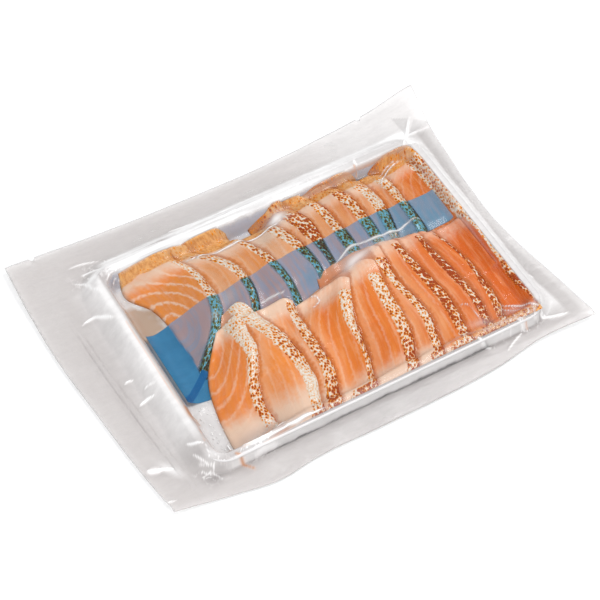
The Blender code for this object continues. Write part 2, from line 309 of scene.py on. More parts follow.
def warp(x, y):
    """Moves the border's points out or in, so that the outer lines of a grid follow the bag's four edges: each by
    its share of the way from the rim to the edge. The back edge is nicked by two small triangles."""
    left, right, front, back = np.array(OPENING) + RIM_WIDTH * np.array((-1, 1, -1, 1))
    notch = sum(np.clip(1 - np.abs(x - at) / half, 0, 1) for at, half in NOTCHES) * NOTCH_DEPTH
    to_left = np.clip((left - x) / (left - BAG[0]), 0, 1)
    to_right = np.clip((x - right) / (BAG[1] - right), 0, 1)
    to_front = np.clip((front - y) / (front - BAG[2]), 0, 1)
    to_back = np.clip((y - back) / (BAG[3] - back), 0, 1)
    new_x = x + to_left * (curve_through(LEFT_EDGE, y) - BAG[0])
    new_x += to_right * (curve_through(RIGHT_EDGE, y) - BAG[1])
    new_y = y + to_front * (curve_through(FRONT_EDGE, new_x) - BAG[2])
    new_y += to_back * (curve_through(BACK_EDGE, new_x) - BAG[3])
    new_y -= notch * ease(0.93, 1.0, to_back)
    return new_x, new_y


def slice_lines(piece, y):
    """Share along a slice from its near end, and its right edge, band width and breadth there."""
    share = (y - piece.near) / (piece.far - piece.near)
    return share, at_stations(piece.right, share), at_stations(piece.band, share), at_stations(piece.breadth, share)


def far_end(piece, across):
    """Where a slice ends at its far side: a round hump that drops away on both sides of its crown."""
    crown = 0.8
    past = np.where(across > crown, (across - crown) / (1.0 - crown), (crown - across) / crown)
    return piece.far - piece.hump * np.clip(past, 0.0, 1.0) ** 2.4


def slice_thickness(piece, taper, x, y, thickness, first=False):
    """One slice's thickness on the plan: a long wedge from its left edge, the seared band falling off at its
    right edge as a quarter round, and its two ends tapered and rounded."""
    near_length, near_share, far_length, far_share = taper
    _, right, band, breadth = slice_lines(piece, y)
    across = (x - right + breadth) / breadth
    wedge = ease(0.0, WEDGE_SHARE, across)
    if first:
        wedge = (0.35 + 0.65 * wedge) * round_off(across * breadth)
    fall = np.clip((right - x) / band, 0.0, 1.0)
    far = far_end(piece, across)
    near_taper = near_share + (1 - near_share) * ease(0.0, near_length, y - piece.near)
    far_taper = far_share + (1 - far_share) * ease(0.0, far_length, far - y)
    ends = round_off(y - piece.near) * round_off(far - y)
    return thickness * wedge * (1 - (1 - fall) ** 2) * near_taper * far_taper * ends


def slice_grain(number, right, breadth, x, y, front):
    """Distance from a slice's hidden centre, so that its fibres and fat run in long arcs round it."""
    centre_x = right - breadth * (1.5 if number else 0.9)
    centre_y = -20.0 if front else (12.0 if number == 0 else 60.0)
    return np.hypot(x - centre_x, (y - centre_y) * (0.35 if number else 0.6)) + 3.1 * number


def round_off(distance):
    """A quarter round: 0 at an edge, 1 from the edge's rounding inwards, by the equation of a circle."""
    return np.sqrt(1.0 - (1.0 - np.clip(distance / EDGE_ROUND, 0.0, 1.0)) ** 2)


def taut(below, radius, rounds):
    """Film drawn over heights: each round takes the mean of the four neighbours, lets it sink by what a film that
    bends no tighter than the radius would, and lifts it back onto what lies below."""
    film = below.copy()
    sink = STEP**2 / (4 * radius)
    for _ in range(rounds):
        middle = (film[:-2, 1:-1] + film[2:, 1:-1] + film[1:-1, :-2] + film[1:-1, 2:]) / 4 - sink
        film[1:-1, 1:-1] = np.maximum(below[1:-1, 1:-1], middle)
    return film


class Heights:
    """Heights on the even grid, read anywhere by blending the four nearest."""

    columns = np.arange(GRID[0], GRID[1] + STEP / 2, STEP)
    rows = np.arange(GRID[2], GRID[3] + STEP / 2, STEP)
    x, y = np.meshgrid(columns, rows, indexing="ij")

    def __init__(self, level):
        self.level = level

    def at(self, x, y):
        """The height at each place, from its four neighbours in proportion to how near they are."""
        column = np.clip((x - GRID[0]) / STEP, 0, len(self.columns) - 1.001)
        row = np.clip((y - GRID[2]) / STEP, 0, len(self.rows) - 1.001)
        i, j = column.astype(int), row.astype(int)
        across, along = column - i, row - j
        near = self.level[i, j] * (1 - across) + self.level[i + 1, j] * across
        far = self.level[i, j + 1] * (1 - across) + self.level[i + 1, j + 1] * across
        return near * (1 - along) + far * along


class Pile:
    """The heights of all that lies in the tray, worked out from the floor up: the back row, the sheet on it, the
    front row on both, and the film over everything."""

    def __init__(self, sizes):
        self.thickness = sizes.slice_thickness / MM
        self.rim = sizes.rim_level / MM
        x, y = Heights.x, Heights.y
        bed = BED_RISE * ease(*BED_LEFT, x) * ease(*BED_BACK, y)
        floor = tray_level(x, y, self.rim)
        self.ground = Heights(floor + bed)
        back = self.rest(BACK_ROW, BACK_TAPER, x, y) + self.ground.level
        capped = self.cap(back, y)
        sheet = taut(capped, sizes.sheet_bend / MM, SHEET_ROUNDS)
        on_sheet = outside(SHEET, 1.0, x, y) < 0
        self.sheet = Heights(sheet)
        lifted = np.where(on_sheet, np.maximum(sheet, capped) + 0.35, capped)
        self.shelf = Heights(np.where(lifted > PILE_START, np.maximum(back, lifted), lifted))
        front = self.rest(FRONT_ROW, FRONT_TAPER, x, y)
        pile = np.where(front > 0.05, self.cap(self.shelf.level + front, y), lifted)
        share = drape_share(x, y)
        border = border_level(x, y)
        inside = np.maximum(pile, floor)
        under = np.where(share < 1.0, border + (self.rim - border) * share, inside)
        self.contents = Heights(inside)
        film = np.where(share < 1.0, under, taut(under, sizes.film_bend / MM, FILM_ROUNDS))
        self.film = Heights(film + sizes.film_gap / MM)

    def cap(self, level, y):
        """The level held under the pile's cap, which has a round ridge between the rows."""
        ridge = RIDGE_RISE * np.exp(-(((y - RIDGE_PLACE) / RIDGE_REACH) ** 2))
        return held_under(level, PILE_START, PILE_CAP + ridge)

    def rest(self, pieces, taper, x, y):
        """The summed thickness of some slices of a row."""
        first = (FRONT_ROW[0], BACK_ROW[0])
        each = (slice_thickness(piece, taper, x, y, self.thickness, piece in first) for piece in pieces)
        return sum(each, np.zeros_like(x))


def bag_middle():
    """The middle of the bag's outline on the plan."""
    x, y = warp(*(line.ravel() for line in np.meshgrid(np.linspace(*BAG[:2], 400), np.linspace(*BAG[2:], 400))))
    return np.array(((x.min() + x.max()) / 2, (y.min() + y.max()) / 2, 0.0))


MIDDLE = bag_middle()


# ---------------------------------------------------------------- meshes


def put_mesh(name, points, faces, material, attributes):
    """A mesh object from plan points in millimetres, quads and one value or vector for each point."""
    mesh = bpy.data.meshes.new(name)
    mesh.from_pydata(((points - MIDDLE) * MM).tolist(), [], faces.tolist())
    for key, values in attributes.items():
        kind, field = ("FLOAT", "value") if values.ndim == 1 else ("FLOAT_VECTOR", "vector")
        layer = mesh.attributes.new(key, kind, "POINT")
        layer.data.foreach_set(field, np.ascontiguousarray(values, np.float32).ravel())
    mesh.shade_smooth()
    mesh.materials.append(material)
    mesh.update()
    made = bpy.data.objects.new(name, mesh)
    bpy.context.scene.collection.objects.link(made)
    return made


def grid_faces(columns, rows):
    """The quads of a grid whose points are counted along the rows first."""
    index = np.arange(columns * rows).reshape(columns, rows)
    return np.stack((index[:-1, :-1], index[1:, :-1], index[1:, 1:], index[:-1, 1:]), axis=-1).reshape(-1, 4)


def loop_faces(index):
    """The quads between closed loops of points, each loop joined to the next one."""
    ahead = np.roll(index, -1, axis=1)
    return np.stack((index[:-1], index[1:], ahead[1:], ahead[:-1]), axis=-1).reshape(-1, 4)


def outer_ring(x):
    """True on a grid's four outer lines."""
    ring = np.ones_like(x, bool)
    ring[1:-1, 1:-1] = False
    return ring


def joined(runs):
    """Places along a line from runs of (start, end, number of places), with each shared end once."""
    return np.unique(np.concatenate([np.linspace(*run) for run in runs]))


def put_shell(name, top, bottom, material, attributes):
    """A closed shell from two grids of points: the top faces up, the bottom down, and the top's outer ring, on
    which both agree, closes it."""
    columns, rows = top.shape[:2]
    inner = ~outer_ring(top[..., 0])
    index = np.arange(columns * rows).reshape(columns, rows)
    under = np.where(inner, columns * rows + np.cumsum(inner.ravel()).reshape(columns, rows) - 1, index)
    faces = grid_faces(columns, rows)
    below = under.ravel()[faces][:, ::-1]
    points = np.concatenate((top.reshape(-1, 3), bottom[inner]))
    values = {
        key: np.concatenate((value.reshape((columns * rows, -1)), value[inner].reshape((inner.sum(), -1)))).squeeze()
        for key, value in attributes.items()
    }
    return put_mesh(name, points, np.concatenate((faces, below)), material, values)


def stand_in(piece):
    """Rides the piece on the pack's one body, in place of the plain solid."""
    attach(piece, BODY)
    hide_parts(NODE)


# ---------------------------------------------------------------- materials


class Value:
    """One output of a node, on which Python's operators add Math nodes."""

    def __init__(self, graph, socket):
        self.graph = graph
        self.socket = socket

    def math(self, operation, other=None):
        return self.graph.node("ShaderNodeMath", {"operation": operation}, self, other)

    def at_most(self, limit):
        """The value, or the limit where the value is larger."""
        return self.math("MINIMUM", limit)

    def __add__(self, other):
        return self.math("ADD", other)

    def __sub__(self, other):
        return self.math("SUBTRACT", other)

    def __rsub__(self, other):
        return self.graph.node("ShaderNodeMath", {"operation": "SUBTRACT"}, other, self)

    def __mul__(self, other):
        return self.math("MULTIPLY", other)

    def __truediv__(self, other):
        return self.math("DIVIDE", other)

    __radd__ = __add__
    __rmul__ = __mul__

    def other(self, name):
        """Another output of the same node."""
        return Value(self.graph, self.socket.node.outputs[name])

    def bend(self, low, high, to_low=0.0, to_high=1.0):
        """The value eased from one range to another."""
        settings = {"interpolation_type": "SMOOTHSTEP"}
        return self.graph.node("ShaderNodeMapRange", settings, self, low, high, to_low, to_high)


class Graph:
    """The nodes of one material."""

    def __init__(self, name):
        self.material = bpy.data.materials.new(name)
        self.material.use_nodes = True
        self.tree = self.material.node_tree
        self.tree.nodes.clear()
        self.output = self.tree.nodes.new("ShaderNodeOutputMaterial")

    def node(self, kind, settings, *values, out=0, **named):
        """Adds a node: its settings first, then its inputs in order, then inputs by name. Returns one output."""
        made = self.tree.nodes.new(kind)
        for key, value in settings.items():
            setattr(made, key, value)
        inputs = [s for s in made.inputs if s.enabled]
        by_name = [(made.inputs[key.replace("_", " ")], value) for key, value in named.items()]
        for socket, value in list(zip(inputs, values)) + by_name:
            if isinstance(value, Value):
                self.tree.links.new(value.socket, socket)
            elif value is not None:
                socket.default_value = (*value, 1.0) if socket.type == "RGBA" else value
        outputs = [s for s in made.outputs if s.enabled]
        return Value(self, made.outputs[out] if isinstance(out, str) else outputs[out])

    def value(self, name):
        """The piece's own attribute of that name, as a number."""
        return self.node("ShaderNodeAttribute", {"attribute_name": name}, out="Fac")

    def vector(self, name):
        """The piece's own attribute of that name, as a vector."""
        return self.node("ShaderNodeAttribute", {"attribute_name": name}, out="Vector")

    def place(self):
        """The place on the object."""
        return self.node("ShaderNodeTexCoord", {}, out="Object")

    def noise(self, vector, scale, detail=2.0, rough=0.5, out="Fac"):
        """Cloudy noise from 0 to 1, or three of them as a colour."""
        return self.node("ShaderNodeTexNoise", {}, vector, scale, detail, rough, out=out)

    def blend(self, factor, first, second):
        """The first colour at 0 and the second at 1."""
        return self.node("ShaderNodeMix", {"data_type": "RGBA"}, factor, first, second)

    def stretch(self, vector, scale, turn=0.0):
        """Places scaled along each axis, then turned in the plan."""
        return self.node("ShaderNodeMapping", {}, vector, None, (0.0, 0.0, turn), scale)

    def bump(self, height, distance, strength):
        """The surface's direction, tilted by a height."""
        return self.node("ShaderNodeBump", {}, Strength=strength, Distance=distance, Height=height)

    def mix(self, factor, first, second):
        """The first shader at 0 and the second at 1."""
        return self.node("ShaderNodeMixShader", {}, factor, first, second)

    def done(self, shader):
        """Joins the shader to the material's surface and returns the material."""
        self.tree.links.new(shader.socket, self.output.inputs["Surface"])
        return self.material


def flesh_material(colours):
    """Salmon: orange flesh with pale streaks and ends, and a cream seared band with char marks. Edge is the distance
    from the slice's right edge in widths of the band, so the band lies where it is under 1."""
    g = Graph("seared_salmon")
    plan = g.vector("plan")
    edge = g.value("edge")
    wobble = g.noise(plan, 0.45, 2.0) - 0.5
    band = (edge + wobble * 0.45).bend(1.06, 0.94)

    # Flesh: mottled by its tone, with streaks along it and a pale strip beside the slice on its left.
    along = g.stretch(plan, (1.0, 0.12, 1.0))
    mottle = g.noise(along, 0.3, 3.0)
    tone = (g.value("tone") + (mottle - 0.5) * 0.9).bend(-0.1, 1.1)
    flesh = g.blend(tone, colours.flesh_light, colours.flesh_deep)
    streak = g.noise(along, 0.55, 2.0).bend(0.46, 0.74)
    left = g.value("left") + wobble * 3.0
    strip = left.bend(0.8, 2.6) * left.bend(9.0, 3.5) * g.value("strip")
    flesh = g.blend((streak * 0.35 + strip * 0.55).at_most(1.0), flesh, colours.streak)

    # Fat lines follow the grain, one every six millimetres of it, and the cooked ends are paler.
    grain = g.value("grain") + wobble * 2.4
    fibre = g.noise(g.stretch(plan, (1.0, 0.25, 1.0)), 0.6, 2.0)
    line = ((grain / 6.0).math("FRACT") - 0.5).math("ABSOLUTE").bend(0.30, 0.50) * fibre.bend(0.25, 0.5)
    flesh = g.blend(line * g.value("fatty"), flesh, colours.fat)
    ends = (g.value("ends") + wobble * 0.35 + (mottle - 0.5) * 0.5).bend(0.0, 1.0)
    flesh = g.blend(ends * 0.9, flesh, colours.pale_end)

    # Toasted crust on the ends against the wall, and painted shade where the slice slips under its neighbour.
    toast = (g.value("toast") + wobble * 0.5).bend(0.3, 0.75)
    patchy = g.noise(plan, 0.5, 4.0, 0.7).bend(0.38, 0.66) + g.value("tone") * 0.4
    crust = g.blend(patchy.at_most(1.0), colours.toasted, colours.crust)
    flesh = g.blend(toast * 0.9, flesh, crust)
    flesh = g.blend(left.bend(2.8, 0.0) * (0.5 + g.value("tone") * 0.25), flesh, colours.crease)

    # Char marks: blots round the middles of shaken cells, larger where the sear is stronger, and thin dark rims.
    sear = g.value("sear")
    shaken = g.node("ShaderNodeVectorMath", {"operation": "MULTIPLY_ADD"}, g.noise(plan, 0.7, 2.0, out="Color"),
                    (0.8, 0.8, 0.0), plan)
    cell = g.node("ShaderNodeTexVoronoi", {"voronoi_dimensions": "2D"}, Scale=0.58, Randomness=0.9,
                  Vector=g.stretch(shaken, (1.0, 0.8, 1.0), 0.5), out="Distance")
    chance = g.node("ShaderNodeSeparateColor", {}, cell.other("Color"), out="Red")
    blotch = g.noise(plan, 0.14, 2.0)
    depth = sear * 0.60 + (chance - 0.5) * 0.34 + (blotch - 0.5) * 0.35 - 0.02 - cell
    rims = (edge - 0.9).math("ABSOLUTE").bend(0.10, 0.03) + edge.bend(0.13, 0.03)
    rims = rims * sear.bend(0.6, 0.9) * g.noise(plan, 0.5, 2.0).bend(0.38, 0.55)
    depth = depth.math("MAXIMUM", rims * 0.42 - 0.2)
    dark = (depth + (chance - 0.5) * 0.16 + sear * 0.4 - 0.38).bend(-0.04, 0.14)
    mark_colour = g.blend(dark, colours.char_light, colours.char_dark)

    # Seared skin: cream and white, with the marks and any crust over it.
    cream = g.blend(g.noise(plan, 0.9, 2.0).bend(0.35, 0.6), colours.seared, colours.seared_white)
    seared = g.blend(depth.bend(-0.12, 0.0), cream, mark_colour)
    spots = toast * (depth + 0.04).bend(0.0, 0.12)
    seared = g.blend(toast * 0.8, seared, g.blend(spots, crust, mark_colour))
    colour = g.blend(band, g.blend(spots, flesh, mark_colour), seared)
    relief = depth.bend(-0.05, 0.1) * band * -0.6 + line * 0.2 + g.noise(plan, 1.4, 2.0) * 0.35
    shader = g.node(
        "ShaderNodeBsdfPrincipled", {"subsurface_method": "BURLEY"}, Base_Color=colour, Roughness=0.42 + band * 0.2,
        Specular_IOR_Level=0.12, Normal=g.bump(relief, 0.0005, 0.8),
    )
    return g.done(shader)


def tray_material(colours):
    """Pale tray plastic, a little juice along its left wall and on its floor, and painted shade under its back rim."""
    g = Graph("tray_plastic")
    place = g.place()
    cloud = g.noise(place, 60.0, 3.0)
    juice = (g.value("juice") + (g.noise(place, 220.0, 2.0) - 0.5) * 0.5).bend(0.35, 0.75)
    base = g.blend(cloud.bend(0.3, 0.7), colours.tray, [part * 0.92 for part in colours.tray])
    # Painted shade on the back wall below the rim.
    base = g.blend(g.value("shade"), base, colours.tray_painted_shade)
    base = g.blend(juice * 0.85, base, colours.juice)
    shader = g.node(
        "ShaderNodeBsdfPrincipled", {}, Base_Color=base, Roughness=0.3 + juice * -0.15,
        Normal=g.bump(cloud, 0.0003, 0.4),
    )
    return g.done(shader)


def film_material(colours):
    """Clear vacuum film: see-through, glossy by its angle, hazy where it is creased or stands off what it covers."""
    g = Graph("vacuum_film")
    place = g.place()
    cloud = g.noise(place, 28.0, 3.0, 0.6)
    fine = g.noise(g.stretch(place, (0.4, 1.6, 1.0), 0.3), 160.0, 3.0, 0.6)
    haze = g.value("haze") * (0.86 + (cloud - 0.5) * 0.5 + (fine - 0.5) * 0.22)
    # Painted highlights: the glint attribute turns the haze white and thickens it.
    white = (g.value("glint") * (0.88 + fine * 0.24)).at_most(1.0)
    tint = g.blend(white, colours.film_grey, (0.98, 0.98, 0.98))
    # Painted shade: the shade attribute darkens the haze towards the folds' colour.
    tint = g.blend(g.value("shade"), tint, colours.film_dark)
    tint = g.blend(g.value("stain") * (0.7 + fine * 0.5), tint, colours.stain)
    ripple = g.noise(g.stretch(place, (1.0, 2.2, 1.0), 0.5), 90.0, 3.0, 0.55)
    normal = g.bump(ripple + g.noise(place, 320.0, 2.0, 0.6) * 0.12, 0.0011, 0.55)
    gloss = g.node("ShaderNodeBsdfGlossy", {}, (1.0, 1.0, 1.0), Roughness=0.12, Normal=normal)
    clear = g.node("ShaderNodeBsdfTransparent", {}, (0.99, 0.988, 0.985))
    facing = g.node("ShaderNodeFresnel", {}, 1.45, Normal=normal)
    film = g.mix((facing * 0.45).at_most(1.0), clear, gloss)
    dull = g.node("ShaderNodeBsdfPrincipled", {}, Base_Color=tint, Roughness=0.35, Normal=normal)
    return g.done(g.mix((haze + white * 0.3).at_most(0.97), film, dull))


def sheet_material(colours):
    """Clear sheet with a see-through blue stripe: it tints pale things cyan and turns flesh a misty lilac."""
    g = Graph("stripe_sheet")
    place = g.place()
    wave = (g.noise(place, 90.0, 2.0) - 0.5) * 0.6
    inside = (g.value("stripe") + wave).bend(-0.2, 0.25)
    fold = (g.value("fold") + wave).bend(-0.2, 0.3)
    over = g.value("over_flesh")
    clear = g.node("ShaderNodeBsdfTransparent", {}, (1.0, 1.0, 1.0))
    blue = g.node("ShaderNodeBsdfTransparent", {}, (0.65, 0.88, 0.985))
    grain = g.vector("grain")
    veil = g.noise(grain, 0.36, 3.0, 0.6).bend(0.36, 0.60) * 0.8 + g.noise(grain, 1.1, 2.0).bend(0.5, 0.75) * 0.3
    veil = veil * 0.8 + g.value("warm")
    mist = g.blend(veil.at_most(1.0), colours.stripe_mist, colours.stripe_pink)
    cool = g.value("cool") * (1.0 - veil * 0.5)
    mist = g.blend(cool.at_most(1.0), mist, colours.stripe_cool)
    mist = g.blend(over, colours.stripe_deep, mist)
    mist = g.blend(fold, mist, colours.stripe_fold)
    dull = g.node("ShaderNodeBsdfPrincipled", {}, Base_Color=mist, Roughness=0.35, Specular_IOR_Level=0.2)
    # Over the bare tray, the stripe's deep blue is partly its own colour and partly painted shade of the floor under
    # it.
    bare = g.value("bare") * (0.42 + g.noise(g.stretch(place, (0.5, 1.6, 1.0), 0.6), 70.0, 3.0, 0.6) * 0.6)
    share = over * (0.42 + cool * 0.12) + bare + fold + 0.02
    return g.done(g.mix(inside, clear, g.mix(share.at_most(1.0), blue, dull)))


def bead_material(colours):
    """Tiny air bubbles under the film."""
    g = Graph("bubbles")
    shade = g.noise(g.place(), 400.0, 1.0).bend(0.3, 0.7)
    base = g.blend(shade, (0.92, 0.91, 0.90), colours.tray)
    return g.done(g.node("ShaderNodeBsdfPrincipled", {}, Base_Color=base, Roughness=0.12 + shade * 0.1))


# ---------------------------------------------------------------- user's values


def length_property(name, description, default):
    """A length in metres that the user can change."""
    return bpy.props.FloatProperty(name=name, description=description, default=default, unit="LENGTH", precision=4)


class PackSizes(bpy.types.PropertyGroup):
    """Sizes of the pack's pieces."""

    slice_thickness: length_property("Slice thickness", "Thickest part of a slice", 0.0049)
    rim_level: length_property("Rim height", "Height of the tray's rim", 0.012)
    film_gap: length_property("Film gap", "Gap between film and food", 0.0003)
    film_bend: length_property("Film bend", "Tightest bend of the film", 0.0022)
    sheet_bend: length_property("Sheet bend", "Tightest bend of the striped sheet", 0.012)


def colour_property(name, description, default):
    """A colour that the user can change."""
    return bpy.props.FloatVectorProperty(
        name=name, description=description, default=default, subtype="COLOR", size=3, min=0.0, max=1.0)


class PackColours(bpy.types.PropertyGroup):
    """Colours of the pack's pieces."""

    flesh_light: colour_property("Light flesh", "Flesh of the paler slices", (0.75, 0.26, 0.045))
    flesh_deep: colour_property("Deep flesh", "Flesh of the deeper slices", (0.60, 0.115, 0.006))
    fat: colour_property("Fat", "Fat lines and the whitest seared skin", (0.80, 0.66, 0.55))
    pale_end: colour_property("Pale ends", "Cooked ends of the slices", (0.73, 0.56, 0.44))
    streak: colour_property("Pale streaks", "Pale streaks along the flesh", (0.76, 0.36, 0.17))
    # Painted shade: the flesh darkened where it slips under its neighbour.
    crease: colour_property("Overlap shade", "Flesh where it slips under its neighbour", (0.42, 0.12, 0.03))
    seared_white: colour_property("White skin", "Whitest parts of the seared band", (0.69, 0.665, 0.61))
    toasted: colour_property("Toasted ends", "Ends that lie against the back wall", (0.78, 0.44, 0.155))
    crust: colour_property("Crust", "Browner crust on those ends", (0.56, 0.23, 0.05))
    seared: colour_property("Seared skin", "Cream of the seared band", (0.66, 0.43, 0.26))
    char_light: colour_property("Light char", "Lighter char marks", (0.74, 0.25, 0.0))
    char_dark: colour_property("Dark char", "Darker char marks", (0.33, 0.045, 0.0))
    tray: colour_property("Tray", "Tray plastic", (0.72, 0.70, 0.70))
    # Colour of the painted shade on the tray's back wall.
    tray_painted_shade: colour_property("Tray in shade", "Tray behind the slices", (0.40, 0.42, 0.50))
    juice: colour_property("Juice", "Juice on the tray", (0.46, 0.29, 0.18))
    film_grey: colour_property("Film haze", "Haze of the bag's border", (0.555, 0.51, 0.50))
    # Colour of the painted shade in the film's folds, on its corner facets and on its greyer border.
    film_dark: colour_property("Film folds", "Shade inside the film's folds", (0.10, 0.09, 0.09))
    stain: colour_property("Juice on the film", "Juice caught in the film's folds", (0.50, 0.18, 0.035))
    stripe_deep: colour_property("Stripe", "Blue of the stripe", (0.045, 0.235, 0.43))
    stripe_mist: colour_property("Stripe on flesh", "Stripe where it hangs over flesh", (0.38, 0.46, 0.64))
    stripe_pink: colour_property("Stripe on streaks", "Stripe where it clings to flesh", (0.66, 0.43, 0.44))
    stripe_cool: colour_property("Stripe on pale ends", "Stripe where it lies on pale flesh", (0.20, 0.36, 0.50))
    stripe_fold: colour_property("Folded stripe", "Stripe where it is doubled", (0.0, 0.10, 0.27))


# ---------------------------------------------------------------- pieces and their operators


class PackOperator:
    """What the operators share: the user's values, and the pile's heights, worked out anew when a size changes."""

    bl_options = {"REGISTER", "UNDO"}
    pile = None
    pile_sizes = None

    def start(self, context):
        """The sizes, the colours and the pile."""
        sizes = context.scene.pack_sizes
        now = [getattr(sizes, key) for key in PackSizes.__annotations__]
        if PackOperator.pile_sizes != now:
            PackOperator.pile, PackOperator.pile_sizes = Pile(sizes), now
        return sizes, context.scene.pack_colours, PackOperator.pile


def rounded_loop(half_x, half_y, corner, per_side):
    """Points round a box with round corners: four quarter circles, with even points on the straight runs."""
    turn = np.linspace(0.0, math.pi / 2, 10)
    loop = []
    for quarter, (sign_x, sign_y) in enumerate(((1, 1), (-1, 1), (-1, -1), (1, -1))):
        angle = turn + quarter * math.pi / 2
        arc_x = sign_x * (half_x - corner) + corner * np.cos(angle)
        arc_y = sign_y * (half_y - corner) + corner * np.sin(angle)
        loop.append(np.stack((arc_x, arc_y), axis=1))
    runs = []
    for quarter in range(4):
        start, end = loop[quarter][-1], loop[(quarter + 1) % 4][0]
        share = np.linspace(0.0, 1.0, per_side + 2)[1:-1, None]
        runs += [loop[quarter], start + (end - start) * share]
    return np.concatenate(runs)


class PACK_OT_tray(PackOperator, bpy.types.Operator):
    """Adds the shallow tray: a profile from its middle over the floor, up the wall and over the rim, carried round a
    box with round corners, and given its thickness."""

    bl_idname = "pack.tray"
    bl_label = "Tray"

    def execute(self, context):
        _, colours, pile = self.start(context)
        left, right, front, back = OPENING
        half_x, half_y = (right - left) / 2, (back - front) / 2
        floor = [(out, FLOOR_LEVEL) for out in (1.0 - half_y, -50.0, -25.0, -9.0)]
        rise = pile.rim - FLOOR_LEVEL
        wall = [(-WALL_DRAFT * (1 - t), FLOOR_LEVEL + rise * ease(0, 1, t)) for t in np.linspace(0.0, 1.0, 9)]
        lip = [(out, pile.rim - drop) for out, drop in TRAY_LIP]
        loops = []
        for out, level in floor + wall + lip:
            flat = rounded_loop(half_x + out, half_y + out, max(OPENING_CORNER + out, 0.6), 30)
            loops.append(np.column_stack((flat + (left + half_x, front + half_y), np.full(len(flat), level))))
        points = np.concatenate(loops)
        index = np.arange(len(points)).reshape(len(loops), -1)
        x, y, z = points.T
        juice = 0.9 * np.exp(-(((x + 98.2) / 1.1) ** 2)) * between(-66, -50, 20, 36, y)
        juice += 1.2 * hill(x, y, -96.5, -52.0, 3.0, 4.5)
        juice += 0.9 * between(-99, -96, -78, -70, x) * between(6, 14, 34, 44, y)
        # Painted shade on the back wall just below the rim, behind the slices.
        shade = 0.85 * ease(50.0, 57.0, y) * ease(pile.rim - 0.5, pile.rim - 2.5, z)
        tray = put_mesh("tray", points, loop_faces(index), tray_material(colours), {"juice": juice, "shade": shade})
        close_loop(tray.data, index[0], turn_up=True)
        wall_thickness = tray.modifiers.new("wall", "SOLIDIFY")
        wall_thickness.thickness = TRAY_WALL * MM
        wall_thickness.offset = -1.0
        stand_in(tray)
        return {"FINISHED"}


def close_loop(mesh, loop, turn_up=False):
    """Fills a loop of points with one face. Turned up, all faces agree and, taken together, face up."""
    bm = bmesh.new()
    bm.from_mesh(mesh)
    bm.verts.ensure_lookup_table()
    bm.faces.new([bm.verts[i] for i in loop])
    if turn_up:
        bmesh.ops.recalc_face_normals(bm, faces=list(bm.faces))
        if sum(face.normal.z for face in bm.faces) < 0:
            bmesh.ops.reverse_faces(bm, faces=list(bm.faces))
    bm.to_mesh(mesh)
    bm.free()
    mesh.shade_smooth()


def longer(across, climb, where):
    """How much longer each step over a surface is than its way on the plan, and 0 where it doesn't count."""
    return (np.hypot(across, climb) - np.abs(across)) * where


def slice_marks(front, number, across, x, y, z, edge, seed):
    """What a slice shows at each place: the place on its unrolled top for the char marks, which adds how much longer
    the way over its right slope and its near end is; the distance to the left edge; and, eased from both ends,
    where it is pale, toasted and seared."""
    row = FRONT_ROW if front else BACK_ROW
    piece = row[number]
    share, right, _, breadth = slice_lines(piece, y)
    slope, dip = np.zeros_like(x), np.zeros_like(x)
    slope[1:] = np.cumsum(longer(np.diff(x, axis=0), np.diff(z, axis=0), across[1:] > 0.6), axis=0)
    dipping = longer(np.diff(y, axis=1), np.diff(z, axis=1), y[:, 1:] - piece.near < 10.0)
    dip[:, :-1] = np.cumsum(dipping[:, ::-1], axis=1)[:, ::-1]
    # Nothing lies on the first slice, so its left edge counts as far away.
    left = np.full_like(x, 20.0)
    if number:
        left = x - slice_lines(row[number - 1], y)[1]
    sway = lattice_noise(x + seed, y * 0.5, 7.0, 9) * 3.0 - 4.0 * ease(0.6, 0.0, across)
    deep = ease(0.6, 1.0, piece.tone)
    if front:
        near_pale = ease(piece.end + 0.1, 0.1 * piece.end, y - piece.near + sway)
        far_pale = (0.95 - 0.5 * piece.tone) * ease(18.0, 5.0, piece.far - y - sway * 0.5)
        pale = np.maximum(near_pale, far_pale)
        toast = 0.75 * ease(8.0, 1.0, y - piece.near + sway * 0.5) * ease(0.6, 0.8, piece.tone)
    else:
        above = y - curve_through(CRUST_LINE, x) + sway * 0.3
        pale = ease(-12.0, -1.0, above) * 0.65
        toast = ease(-1.0, 3.0, above)
    sear = at_stations(piece.char, share) + lattice_noise(y + seed, 0.0, 11.0, 8) * 0.12
    sear = sear + ease(0.3, 0.0, edge) * 0.15 * ease(0.2, 0.5, sear) - toast * 0.25
    first_fatty = 0.35 if front else 0.6
    return {
        "plan": np.stack((x - right + seed + slope, y - dip, np.full_like(x, number * 3.0)), axis=-1),
        "edge": edge,
        "grain": slice_grain(number, right, breadth, x, y, front),
        "ends": np.clip(pale + piece.pale, 0.0, 1.1),
        "toast": toast,
        "sear": sear,
        "tone": np.full_like(x, piece.tone),
        "strip": np.full_like(x, 1.0 - deep),
        "left": left,
        "fatty": np.full_like(x, 0.22 - 0.17 * deep if number else first_fatty),
    }


